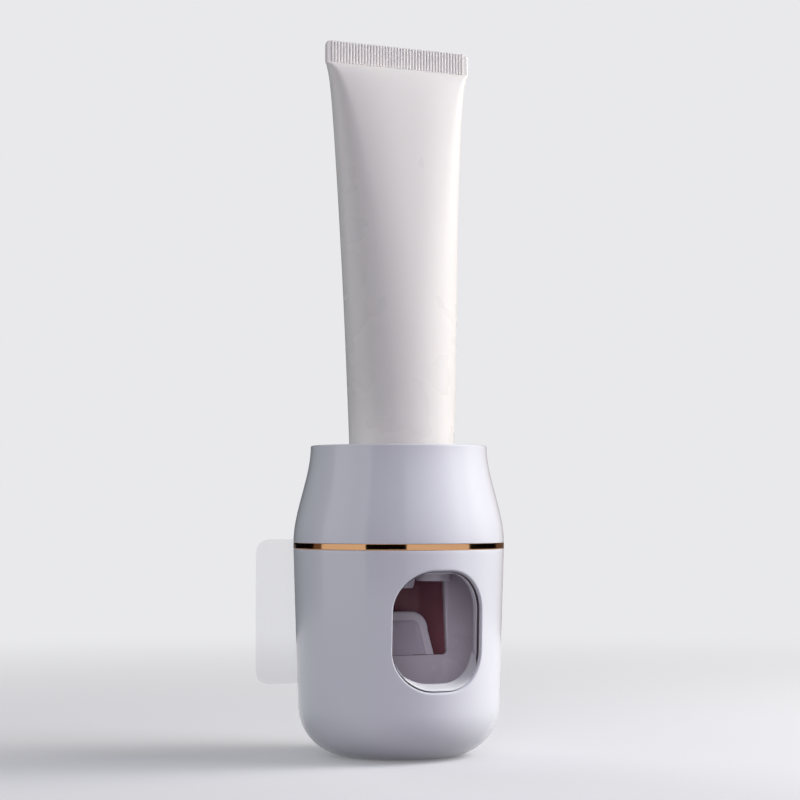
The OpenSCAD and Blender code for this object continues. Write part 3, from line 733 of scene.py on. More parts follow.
@dataclass
class Housing:
    """The lower shell, the trim ring and the window frame. Sizes are in millimetres."""

    window: Window = field(default_factory=Window)
    body_radius: float = 38.0
    foot_radius: float = 36.2
    foot_curve: float = 18.0
    shell_height: float = 74.0
    rim_low: float = 72.5
    rim_edge: tuple[Flat, ...] = ((0.01, 0.25), (0.08, 0.08), (0.25, 0.0))
    inner_radius: float = 34.4
    floor: float = 2.4
    flat_depth: float = 34.0
    flat_inner_depth: float = 31.8
    flat_top: float = 71.0
    flat_inner_top: float = 73.2
    flat_step: float = 0.01
    spigot_radius: float = 35.6
    spigot_top: float = 79.4
    inner_edge: float = 0.3
    ring_height: float = 2.2
    ring_play: float = 0.1
    ring_edge: float = 0.25
    lip_width: float = 0.5
    lip_depth: float = 1.15
    lip_round: float = 1.0
    lip_foot: float = 0.3
    shade_seal_depth: float = 1.5
    shade_seal_width: float = 1.1
    shade_seal_reach: float = 0.28
    shade_seal_overlap: float = 0.1
    shade_seal_round: float = 0.12
    patch_low: float = 20.0
    patch_half_angle: float = 45.0
    patch_rings: int = 10
    patch_crowding: float = 1.3
    side_columns: int = 50
    back_columns: int = 12
    back_half_angle: float = 3.0
    back_share: float = 0.9
    frame_gap: float = 0.35
    flange_radius: float = 34.25
    flange_reach: float = 2.0
    flange_wall: float = 0.6
    sill_front: float = 35.9
    sill_depth: float = 5.2
    sill_edge: float = 0.5
    sill_angle: float = 20.0
    sill_inset: float = 0.985
    sill_sag: float = 0.18
    sill_rolls: Flat = (0.3, 0.35)
    hook_pitch: float = 18.1
    slot_width: float = 6.1
    slot_height: float = 7.7
    slot_tops: Flat = (39.0, 59.0)
    slot_corner: float = 0.5
    screw_pitch: float = 19.0
    screw_height: float = 68.5
    screw_hole: float = 1.3
    screw_head: float = 2.2
    screw_seat: float = 32.7
    cut_from: float = 30.0
    cut_to: float = 36.0

    def outer_radius(self, height: float) -> float:
        """The shell's outer radius at a height on its straight side."""
        share = (height - self.foot_curve) / (self.shell_height - self.foot_curve)
        return blend(self.foot_radius, self.body_radius, share)

    def ring_row(self, radius: float, height: float, flat: float | None) -> list[Point]:
        """One level ring of the shell, from the front round by the right, with a flat at the back.

        Args:
            radius: radius of the ring
            height: its height
            flat: distance from the axis to the flat, or None for a full circle

        Returns:
            The ring's points: the window patch, a side, the flat, the other side.
        """
        depth = radius * self.back_share if flat is None else flat
        back = max(self.back_half_angle, math.degrees(math.acos(min(1.0, depth / radius))))
        front = self.patch_half_angle
        spans = (
            (-front, front, self.window.side_steps), (front, 180 - back, self.side_columns),
            (180 - back, 180 + back, self.back_columns), (180 + back, 360 - front, self.side_columns),
        )
        points = []
        for angle in (math.radians(degrees) for span in spans for degrees in evenly(*span)[:-1]):
            y = -radius * math.cos(angle)
            points.append((radius * math.sin(angle), y if flat is None else min(y, flat), height))
        return points

    def wall(self, draft: Draft, levels: Sequence[Level], radius: Callable[[float], float],
             margin: float) -> tuple[list[int], list[int]]:
        """Draws one skin of the shell with the hole for the window.

        Args:
            draft: the mesh that gets it
            levels: radius, height and flat of each ring, from the bottom up
            radius: the skin's radius at a height, in the window patch
            margin: how far round the window the patch starts

        Returns:
            The top ring, and the loop at the window.
        """
        count = self.window.side_steps
        heights = evenly(self.patch_low, self.flat_top, count)
        flat = levels[0][2]
        below = [draft.row(self.ring_row(*level)) for level in levels if level[1] < self.patch_low]
        patch = [draft.row(self.ring_row(radius(h), h, flat)) for h in heights]
        above = [draft.row(self.ring_row(*level)) for level in levels if level[1] >= self.flat_top]
        draft.cap(below[0])
        draft.strips([*below, patch[0]])
        draft.strips([patch[-1], *above])
        for low, high in zip(patch, patch[1:]):
            draft.strip([*low[count:], low[0]], [*high[count:], high[0]], closed=False)
        # The patch's border, in the same order as the window's outline
        half = self.patch_half_angle
        border = [(angle, self.patch_low) for angle in evenly(-half, half, count)[:-1]]
        border += [(half, h) for h in heights[:-1]]
        border += [(angle, self.flat_top) for angle in evenly(half, -half, count)[:-1]]
        border += [(-half, h) for h in reversed(heights[1:])]
        start = [(math.degrees(math.asin(x / radius(z))), z) for x, z in self.window.outline(margin)]
        rows = []
        for k in range(self.patch_rings + 1):
            share = (k / self.patch_rings) ** self.patch_crowding
            points = []
            for (a0, z0), (a1, z1) in zip(start, border):
                angle, z = math.radians(blend(a0, a1, share)), blend(z0, z1, share)
                r = radius(z)
                points.append((r * math.sin(angle), -r * math.cos(angle), z))
            rows.append(draft.row(points))
        draft.strips(rows)
        return (above[-1], rows[0])

    def sunk_row(self, draft: Draft, margin: float, sunk: float) -> list[int]:
        """Adds the window's outline, grown by a margin and sunk under the shell's face."""
        return draft.row(self.window.loop(margin, lambda z: self.outer_radius(z) - sunk))

    def foot(self, radius: float, floor: float, curve: float, flat: float, steps: int) -> list[Level]:
        """The round foot of one of the shell's skins.

        Args:
            radius: the skin's radius above the foot
            floor: height of its lowest point
            curve: radius of the rounding
            flat: distance from the axis to the flat
            steps: straight pieces in the rounding

        Returns:
            Radius, height and flat of each ring, from the bottom up.
        """
        return [
            (radius - curve + curve * math.sin(a), floor + curve * (1 - math.cos(a)), flat)
            for a in quarter_turn(steps)
        ]

    def shell(self) -> bpy.types.Object:
        """The lower shell, with its soft window edge, its flat and its slots."""
        draft = Draft()
        outer = self.foot(self.foot_radius, 0.0, self.foot_curve, self.flat_depth, 18)
        outer += [(self.outer_radius(z), z, None) for z in (self.flat_top, self.rim_low)]
        outer += [
            (self.body_radius - inward, self.shell_height - down, None) for inward, down in self.rim_edge]
        lip = rounded_path([
            (self.lip_width + self.lip_round, 0.0, 0.0), (self.lip_width, 0.0, self.lip_round),
            (0.0, self.lip_depth, self.lip_foot), (0.0, self.lip_depth + self.lip_foot, 0.0),
        ], closed=False, steps=8)
        top, hole = self.wall(draft, outer, self.outer_radius, lip[0][0])
        edge = self.inner_edge
        inner = self.foot(
            self.inner_radius, self.floor, self.foot_curve - self.floor, self.flat_inner_depth, 14)
        inner += [
            (self.inner_radius, self.flat_inner_top, self.flat_inner_depth),
            (self.inner_radius, self.flat_inner_top + self.flat_step, None),
            (self.inner_radius, self.spigot_top - edge, None),
            (self.inner_radius + edge, self.spigot_top, None),
        ]
        inner_top, inner_hole = self.wall(draft, inner, lambda z: self.inner_radius, edge)
        spigot = [
            draft.row(self.ring_row(radius, z, None))
            for radius, z in (
                (self.spigot_radius, self.shell_height), (self.spigot_radius, self.spigot_top - edge),
                (self.spigot_radius - edge, self.spigot_top),
            )
        ]
        draft.strips([top, *spigot, inner_top])
        lips = [self.sunk_row(draft, margin, sunk) for margin, sunk in lip[1:]]
        deep = draft.row(self.window.loop(0.0, lambda z: self.inner_radius + edge))
        draft.strips([hole, *lips, deep, inner_hole])
        return cut_away(draft.piece("shell_lower_skin", WHITE_GLOSS_ABS), self.back_cutters())

    def back_cutter(self, outline: Sequence[Flat], start: float) -> bpy.types.Object:
        """A solid that cuts through the back.

        Args:
            outline: its outline in X and height
            start: distance from the axis to its front end

        Returns:
            The cutter.
        """
        draft = Draft()
        draft.solid([draft.row((x, depth, z) for x, z in outline) for depth in (start, self.cut_to)])
        return draft.piece("back_cutter", WHITE_GLOSS_ABS)

    def back_cutters(self) -> list[bpy.types.Object]:
        """Solids for the four hook slots and the two screw holes."""
        cutters = []
        for side in (-1, 1):
            middle, half = side * self.hook_pitch / 2, self.slot_width / 2
            left, right = middle - half, middle + half
            for top in self.slot_tops:
                low = top - self.slot_height
                corners = ((left, low), (right, low), (right, top), (left, top))
                slot = rounded_path([(x, z, self.slot_corner) for x, z in corners])
                cutters.append(self.back_cutter(slot, self.cut_from))
            for radius, start in ((self.screw_hole, self.cut_from), (self.screw_head, self.screw_seat)):
                axis = side * self.screw_pitch / 2
                hole = [(axis + x, self.screw_height + z) for x, z in circle(radius, 32)]
                cutters.append(self.back_cutter(hole, start))
        return cutters

    def ring(self) -> bpy.types.Object:
        """The plated trim ring, with its edges just broken."""
        draft = Draft()
        low, high = self.shell_height, self.shell_height + self.ring_height
        inside, outside = self.spigot_radius + self.ring_play, self.body_radius
        draft.turned(rounded_path([
            (inside, low, 0.0), (outside, low, self.ring_edge), (outside, high, self.ring_edge),
            (inside, high, 0.0),
        ]))
        return draft.piece("ring_plated_trim", ROSE_GOLD, ROUNDED_SHARP_DEG)

    def frame_of_window(self) -> bpy.types.Object:
        """The frame behind the window: a flange that the wall hides, and the sill."""
        draft = Draft()
        front, back = self.flange_radius, self.flange_radius - self.flange_wall
        section = rounded_path([
            (self.flange_reach, front, 0.1), (self.flange_reach, back, 0.1),
            (-self.frame_gap, back, 0.15), (-self.frame_gap, front, 0.15),
        ])
        rows = [draft.row(self.window.loop(margin, lambda z: radius)) for margin, radius in section]
        draft.strips(rows, ring=True)
        self.sill(draft)
        return draft.piece("frame_window_sill", WHITE_ABS)

    def shade_seal(self) -> bpy.types.Object:
        """A dark seal that lines the window's cut edge, between the shell's lip and the frame; its dark
        colour is painted shade for the shadowed gap there.
        """
        draft = Draft()
        near, far = self.shade_seal_depth, self.shade_seal_depth + self.shade_seal_width
        section = rounded_path([
            (self.shade_seal_overlap, near, 0.0), (-self.shade_seal_reach, near, self.shade_seal_round),
            (-self.shade_seal_reach, far, self.shade_seal_round), (self.shade_seal_overlap, far, 0.0),
        ])
        draft.strips([self.sunk_row(draft, margin, sunk) for margin, sunk in section], ring=True)
        return draft.piece("seal_window_edge", SHADE_SEAL)

    def sill(self, draft: Draft) -> None:
        """Adds the sill: a ramp between the window's lower outline and the same outline moved up.

        Args:
            draft: the mesh that gets it
        """
        half_w = self.window.width / 2 - self.frame_gap
        half_h = self.window.height / 2 - self.frame_gap
        corner = self.window.corner - self.frame_gap

        def outline(x: float) -> float:
            """Height of the window's lower outline at a distance from its middle."""
            aside = max(0.0, abs(x) - (half_w - corner))
            return self.window.middle - half_h + corner - math.sqrt(max(0.0, corner ** 2 - aside ** 2))

        def ramp(x: float, rise: float) -> float:
            """Height of the sill's face, a little narrower than the window, at a distance from its middle."""
            return outline(x * self.sill_inset) + rise * (1 - self.sill_sag * (x / half_w) ** 4)

        levels, columns, halvings = 14, 48, 30
        slope = math.tan(math.radians(self.sill_angle))
        front_roll, back_roll = self.sill_rolls
        tops, bottoms = [], []
        for share in evenly(0.0, 1.0, levels):
            radius = blend(self.sill_front, self.sill_front - self.sill_depth, share)
            # The first and the last tenth of the ramp are rolled over
            roll = front_roll * max(0.0, 1 - share * 10) ** 2 + back_roll * max(0.0, share * 10 - 9) ** 2
            rise = self.sill_edge + share * self.sill_depth * slope - roll
            # The ramp ends at each side where its face meets the window's outline
            near, far = half_w * 0.6, half_w
            for _ in range(halvings):
                reach = (near + far) / 2
                near, far = (reach, far) if ramp(reach, rise) > outline(reach) else (near, reach)
            top, bottom = [], []
            for i in range(columns + 1):
                x = reach * math.sin(math.radians(blend(-90, 90, i / columns)))
                y = -math.sqrt(radius ** 2 - x * x)
                top.append((x, y, max(ramp(x, rise), outline(x))))
                bottom.append((x, y, outline(x)))
            tops.append(draft.row(top))
            bottoms.append(draft.row(bottom))
        draft.strips(tops, closed=False)
        draft.strips(bottoms, closed=False)
        draft.strip(tops[0], bottoms[0], closed=False)
        draft.strip(tops[-1], bottoms[-1], closed=False)

    def build(self) -> None:
        """Builds and fits the housing's outer pieces."""
        fit(self.shell(), "housing", "white_gloss_abs", "lower_shell")
        fit(self.ring(), "housing", "rose_gold", "trim_ring")
        fit(self.frame_of_window(), "housing", "white_gloss_abs", "window_frame")
        # A dark seal whose colour is painted shade round the window's cut edge
        fit(self.shade_seal(), "housing", "maroon_silicone", "window_frame")


@dataclass
class Collar:
    """The upper cover that lifts off for loading a tube. Sizes are in millimetres."""

    low: float = 76.2
    height: float = 34.8
    low_radius: float = 38.0
    rim_radius: float = 31.8
    wall: float = 2.0
    socket_radius: float = 35.8
    socket_top: float = 80.0
    socket_lead: float = 0.2
    rim_round: float = 0.8
    rim_zone: float = 1.2
    foot_edge: float = 0.25
    foot_zone: float = 0.8
    bands: int = 40

    def radius(self, height: float) -> float:
        """The outer radius: a smooth step from the ring to the rim."""
        share = (self.low + self.height - height) / self.height
        return self.rim_radius + (self.low_radius - self.rim_radius) * smooth_step(share)

    def side(self, low: float, high: float, inset: float) -> list[Corner]:
        """The curved side from one height to another, drawn in by an inset."""
        return [(self.radius(z) - inset, z, 0.0) for z in evenly(low, high, self.bands)]

    def build(self) -> None:
        """Builds and fits the collar."""
        top = self.low + self.height
        bend = top - self.rim_zone
        profile = [
            (self.low_radius, self.low, self.foot_edge),
            *self.side(self.low + self.foot_zone, bend, 0.0),
            (self.radius(top), top, self.rim_round),
            (self.radius(top) - self.wall, top, self.rim_round),
            *self.side(bend, self.socket_top + self.socket_lead, self.wall),
            (self.socket_radius, self.socket_top, 0.0),
            (self.socket_radius, self.low, self.socket_lead),
        ]
        draft = Draft()
        draft.turned(rounded_path(profile))
        fit(draft.piece("collar_upper_cover", WHITE_GLOSS_ABS), "collar", "white_gloss_abs", "collar")


@dataclass
class Paddle:
    """The plate that the brush presses. Sizes are in millimetres."""

    face: float = 16.0
    thickness: float = 4.2
    top: float = 50.4
    half_top: float = 19.5
    half_seam: float = 22.0
    corner: float = 7.0
    corner_give: float = 4.0
    seam: float = 34.3
    seam_overlap: float = 1.0
    border: float = 3.4
    dish: float = 1.5
    leg_half: float = 14.0
    leg_face: float = 18.1
    pin_depth: float = 21.25
    pin_height: float = 17.6
    pin_radius: float = 1.31
    knuckle: float = 3.15
    knuckle_edge: float = 0.3
    notch_half: float = 4.3
    notch_top: float = 22.6

    def arch(self, margin: float) -> list[Flat]:
        """The paddle's top and sides.

        Args:
            margin: how far the outline is drawn in

        Returns:
            Points in X and height, from the lower left to the lower right.
        """
        half_top, half_seam = self.half_top - margin, self.half_seam - margin
        top, corner = self.top - margin, self.corner - min(margin, self.corner_give)
        flat_end = half_top - corner
        side = zip(evenly(-half_seam, -half_top, 6), evenly(self.seam, top - corner, 6))
        left = [(x, z) for x, z in side][:-1]
        left += [
            (-flat_end - corner * math.cos(a), top - corner + corner * math.sin(a)) for a in quarter_turn(12)]
        middle = [(x, top) for x in evenly(-flat_end, flat_end, 8)[1:-1]]
        return left + middle + [(-x, z) for x, z in reversed(left)]

    def plate(self, draft: Draft) -> None:
        """Adds the plate with its rounded border and its dish.

        Args:
            draft: the mesh that gets it
        """
        back, face, dish = self.face + self.thickness, self.face, self.face + self.dish
        # From the back's edge over the border into the dish: inset, depth and rounding
        bead = rounded_path([
            (1.5, back, 0.0), (0.0, back, 0.4), (0.0, face, 1.6), (self.border - 0.5, face, 1.2),
            (self.border + 1.0, dish, 1.4), (self.border + 2.6, dish, 0.0),
        ], closed=False, steps=7)
        rows = [draft.row((x, depth, z) for x, z in self.arch(margin)) for margin, depth in bead]
        draft.strips(rows, closed=False)
        draft.cap(rows[0])
        draft.cap(rows[-1])
        draft.cap([row[0] for row in rows] + [row[-1] for row in reversed(rows)])

    def block(self, draft: Draft, left: float, right: float, low: float) -> None:
        """Adds a block of the leg, from a height up to the plate's seam.

        Args:
            draft: the mesh that gets it
            left: X of its one end
            right: X of its other end
            low: its lowest height
        """
        back, high = self.face + self.thickness, self.seam + self.seam_overlap
        corners = ((self.leg_face, low), (self.leg_face, high), (back, high), (back, low))
        draft.solid([draft.row((x, y, z) for y, z in corners) for x in (left, right)])

    def leg(self, draft: Draft) -> None:
        """Adds the two halves of the leg with their knuckles, and the bridge between them.

        Args:
            draft: the mesh that gets them
        """
        inner_edge, outer_edge = self.knuckle - self.knuckle_edge, self.knuckle
        for side in (-1, 1):
            x0, x1 = side * self.notch_half, side * self.leg_half
            self.block(draft, x0, x1, self.pin_height)
            profile = (
                (x0, self.pin_radius), (x0, inner_edge), (blend(x0, x1, 0.03), outer_edge),
                (blend(x0, x1, 0.97), outer_edge), (x1, inner_edge), (x1, self.pin_radius),
            )
            rows = [
                draft.row((x, self.pin_depth + y, self.pin_height + z) for y, z in circle(radius, 40))
                for x, radius in profile
            ]
            draft.strips(rows, ring=True)
        self.block(draft, -self.notch_half, self.notch_half, self.notch_top)

    def build(self) -> None:
        """Builds and fits the paddle."""
        draft = Draft()
        self.plate(draft)
        self.leg(draft)
        piece = draft.piece("paddle_brush_plate", PADDLE_ABS)
        piece.data.materials.append(LIT_BORDER_ABS.material())
        # The faces in front of a third of the dish's depth make up the border, which gets the paler copy as
        # painted light
        front = placed(0.0, self.face + self.dish / 3, 0.0)[1]
        for face in piece.data.polygons:
            face.material_index = int(face.center.y < front)
        fit(piece, "paddle", "paddle_abs", "paddle")


@dataclass
class Screw:
    """A self-tapping pan head screw with a cross recess. Sizes are in millimetres."""

    head_radius: float = 2.0
    head_height: float = 1.2
    crown: float = 0.04
    shoulder_width: float = 0.45
    shoulder_height: float = 0.5
    shoulder_drop: float = 0.1
    shank_radius: float = 1.1
    core_radius: float = 0.8
    thread_start: float = 0.3
    thread_pitch: float = 0.8
    crest_share: float = 0.35
    root_share: float = 0.7
    thread_end: float = 1.0
    point: float = 0.6
    recess_half: float = 0.32
    recess_reach: float = 1.15
    recess_depth: float = 0.7
    recess_taper: Flat = (0.55, 1.2)
    steps: int = 40

    def profile(self, length: float) -> list[Flat]:
        """The screw's outline, from the middle of its head to its point.

        Args:
            length: from under the head to the point, in millimetres

        Returns:
            Radius and height of each ring.
        """
        shoulder = self.head_height - self.shoulder_drop
        profile = [(0.0, self.head_height), (self.recess_reach, self.head_height - self.crown)]
        profile += [
            (self.head_radius - self.shoulder_width * (1 - math.sin(a)),
             shoulder - self.shoulder_height * (1 - math.cos(a)))
            for a in quarter_turn(6)
        ]
        profile += [(self.head_radius, 0.0), (self.core_radius, 0.0)]
        for turn in range(int((length - self.thread_end) / self.thread_pitch)):
            start = -self.thread_start - turn * self.thread_pitch
            profile += [
                (self.core_radius, start), (self.shank_radius, start - self.thread_pitch * self.crest_share),
                (self.core_radius, start - self.thread_pitch * self.root_share),
            ]
        return profile + [(self.core_radius, -length + self.point), (0.0, -length)]

    def recess_cutter(self, half_x: float, half_y: float) -> bpy.types.Object:
        """One bar of the cross recess, narrower at its bottom.

        Args:
            half_x: half its length along X
            half_y: half its length along Y

        Returns:
            The cutter.
        """
        cutter = Draft()
        base = ((-half_x, -half_y), (half_x, -half_y), (half_x, half_y), (-half_x, half_y))
        ends = zip((self.head_height - self.recess_depth, self.head_height + 1), self.recess_taper)
        cutter.solid([cutter.row((x * size, y * size, z) for x, y in base) for z, size in ends])
        return cutter.piece("recess_cutter", DRAWN_STEEL, own_origin=True)

    def blank(self, length: float) -> bpy.types.Object:
        """The screw standing on its point, its head's underside at the origin.

        Args:
            length: from under the head to the point, in millimetres

        Returns:
            An object that the rows of screws repeat.
        """
        draft = Draft()
        draft.strips([
            draft.row((x, y, z) for x, y in circle(radius, self.steps))
            for radius, z in self.profile(length)
        ])
        blank = draft.piece("screw_blank", DRAWN_STEEL, own_origin=True)
        bars = ((self.recess_reach, self.recess_half), (self.recess_half, self.recess_reach))
        return cut_away(blank, [self.recess_cutter(*bar) for bar in bars])

    def pair(self, name: str, node: str, tilt: Point, length: float) -> bpy.types.Object:
        """Two equal screws in the places of a CAD node's two solids, set out by Geometry Nodes.

        Args:
            name: the piece's name
            node: the CAD node that holds the two plain screws
            tilt: turn of the screws, as angles in degrees
            length: from under the head to the point, in millimetres

        Returns:
            The pair as one mesh.
        """
        low, high = (Vector(corner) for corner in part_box(node))
        reach = self.head_radius * MM
        up = Euler([math.radians(a) for a in tilt]).to_matrix() @ Vector((0, 0, 1))
        middle = (low + high) / 2
        # The head's top lies on the side of the box that the screw's axis points to
        seat = middle + (high - low) / 2 * up - up * self.head_height * MM
        first = Vector((low.x + reach, seat.y, seat.z))
        last = Vector((high.x - reach, seat.y, seat.z))
        blank = self.blank(length)
        piece = grown(name, DRAWN_STEEL, "screw_row", screw_row_tree, {
            "Screw": ("NodeSocketObject", blank),
            "Count": ("NodeSocketInt", 2),
            "First": ("NodeSocketVector", list(first)),
            "Last": ("NodeSocketVector", list(last)),
            "Tilt": ("NodeSocketVector", [math.radians(a) for a in tilt]),
        })
        bpy.data.objects.remove(blank)
        return piece


def screw_row_tree(tree: bpy.types.NodeTree, given: bpy.types.NodeOutputs) -> bpy.types.NodeSocket:
    """Nodes that set copies of one screw along a line.

    Args:
        tree: the tree that gets the nodes
        given: the group's inputs: Screw, Count, First, Last and Tilt

    Returns:
        The socket with the copies.
    """
    line = add_node(
        tree, "GeometryNodeMeshLine", {"mode": "END_POINTS"}, Count=given["Count"],
        Start_Location=given["First"])
    tree.links.new(given["Last"], line.inputs["Offset"])
    screw = add_node(tree, "GeometryNodeObjectInfo", Object=given["Screw"])
    turn = add_node(tree, "FunctionNodeEulerToRotation", Euler=given["Tilt"])
    copies = add_node(
        tree, "GeometryNodeInstanceOnPoints", Points=line.outputs["Mesh"], Instance=screw.outputs["Geometry"],
        Rotation=turn.outputs[0])
    return copies.outputs["Instances"]


def wire_tree(tree: bpy.types.NodeTree, given: bpy.types.NodeOutputs) -> bpy.types.NodeSocket:
    """Nodes that bend a round wire along a mesh line of points.

    Args:
        tree: the tree that gets the nodes
        given: the group's inputs: Route, Wire Radius and Spacing

    Returns:
        The socket with the wire.
    """
    route = add_node(tree, "GeometryNodeObjectInfo", Object=given["Route"])
    curve = add_node(tree, "GeometryNodeMeshToCurve", Mesh=route.outputs["Geometry"])
    even = add_node(
        tree, "GeometryNodeResampleCurve", {"mode": "LENGTH"}, Curve=curve.outputs[0],
        Length=given["Spacing"])
    round_wire = add_node(
        tree, "GeometryNodeCurvePrimitiveCircle", Resolution=10, Radius=given["Wire Radius"])
    wire = add_node(
        tree, "GeometryNodeCurveToMesh", Curve=even.outputs[0], Profile_Curve=round_wire.outputs[0],
        Fill_Caps=True)
    return wire.outputs["Mesh"]


@dataclass
class ReturnSpring:
    """The torsion spring round the hinge pin: a leg behind the paddle, the coil, a leg on the wall."""

    wire_radius: float = 0.35
    coil_radius: float = 2.0
    coil_turns: float = 5.5
    turn_steps: int = 24
    spacing: float = 0.35
    half_length: float = 4.0
    pin_depth: float = 21.25
    pin_height: float = 17.6
    front_leg_depth: float = 20.65
    front_leg_top: float = 8.0
    front_leg_bend: float = 5.0
    rear_leg_depth: float = 31.35
    rear_leg_height: float = 2.0
    blend_reach: float = 3.2

    def route(self) -> list[Point]:
        """The wire's middle line, in housing millimetres."""
        edge = self.half_length - self.wire_radius
        front_leg = (self.front_leg_top, self.front_leg_bend)
        points = [(-edge, self.front_leg_depth, self.pin_height + z) for z in front_leg]
        count = int(self.turn_steps * self.coil_turns)
        for k in range(count + 1):
            a = math.radians(180 + 360 * self.coil_turns * k / count)
            points.append((
                blend(-edge, edge, k / count), self.pin_depth + self.coil_radius * math.cos(a),
                self.pin_height + self.coil_radius * math.sin(a)))
        return points + [(edge, self.rear_leg_depth, self.pin_height + self.rear_leg_height)]

    def build(self) -> None:
        """Builds the spring and hides the CAD node that it stands for."""
        points = [placed(*point) for point in self.route()]
        mesh = bpy.data.meshes.new("spring_route")
        mesh.from_pydata(points, [(k, k + 1) for k in range(len(points) - 1)], [])
        route = linked("spring_route", mesh)
        spring = grown("spring_paddle_return", DRAWN_STEEL, "wire", wire_tree, {
            "Route": ("NodeSocketObject", route),
            "Wire Radius": ("NodeSocketFloat", self.wire_radius * MM),
            "Spacing": ("NodeSocketFloat", self.spacing * MM),
        })
        bpy.data.objects.remove(route)
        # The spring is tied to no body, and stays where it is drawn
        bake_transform(spring)
        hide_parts("return_spring")


@dataclass
class Mechanism:
    """The brush cup, the carrier and the pump behind the window. Sizes are in millimetres."""

    screw: Screw = field(default_factory=Screw)
    spring: ReturnSpring = field(default_factory=ReturnSpring)
    bulb_anchor: Point = (0.0, 26.0, 45.0)

    def build(self) -> None:
        """Builds and fits the pieces inside the housing."""
        for node, name, finish, slot, edge in (
            ("brush_cup", "cup_brush_cavity", GREY_ABS, "grey_abs", 0.12),
            ("carrier", "carrier_ceiling", GREY_ABS, "grey_abs", 0.3),
            ("nozzle", "nozzle_paste_outlet", GREY_ABS, "grey_abs", 0.3),
            # The pump's dark maroon parts also paint the deep shade behind the paddle
            ("pump_body", "pump_back_body", MAROON_SHADE_ABS, "maroon_abs", 0.25),
            ("bulb_clamp", "pump_clamp_ring", MAROON_SHADE_ABS, "maroon_abs", 0.1),
            ("tube_socket", "socket_tube_cup", GREY_ABS, "grey_abs", 0.3),
            ("hinge_pin", "pin_paddle_hinge", DRAWN_STEEL, "steel", 0.2),
        ):
            fit(softened(node, name, finish, edge), "housing", slot, node)
        bulb = softened("pump_bulb", "pump_soft_bulb", MAROON_SILICONE, 0.1)
        fit(bulb, "housing", "maroon_silicone", "pump_bulb")
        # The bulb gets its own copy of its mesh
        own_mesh(bulb)
        for name, node, tilt, length in (
            ("screws_back_plate", "back_screws", (-90.0, 0.0, 0.0), 7.6),
            ("screws_pump", "pump_screws", (0.0, 0.0, 0.0), 7.4),
            ("screws_tube_socket", "socket_screws", (180.0, 0.0, 0.0), 8.8),
        ):
            fit(self.screw.pair(name, node, tilt, length), "housing", "steel", node)
        self.spring.build()
        for node in ("port_gasket", "inlet_valve", "outlet_valve", "socket_seal"):
            dress(node, CLEAR_SILICONE)


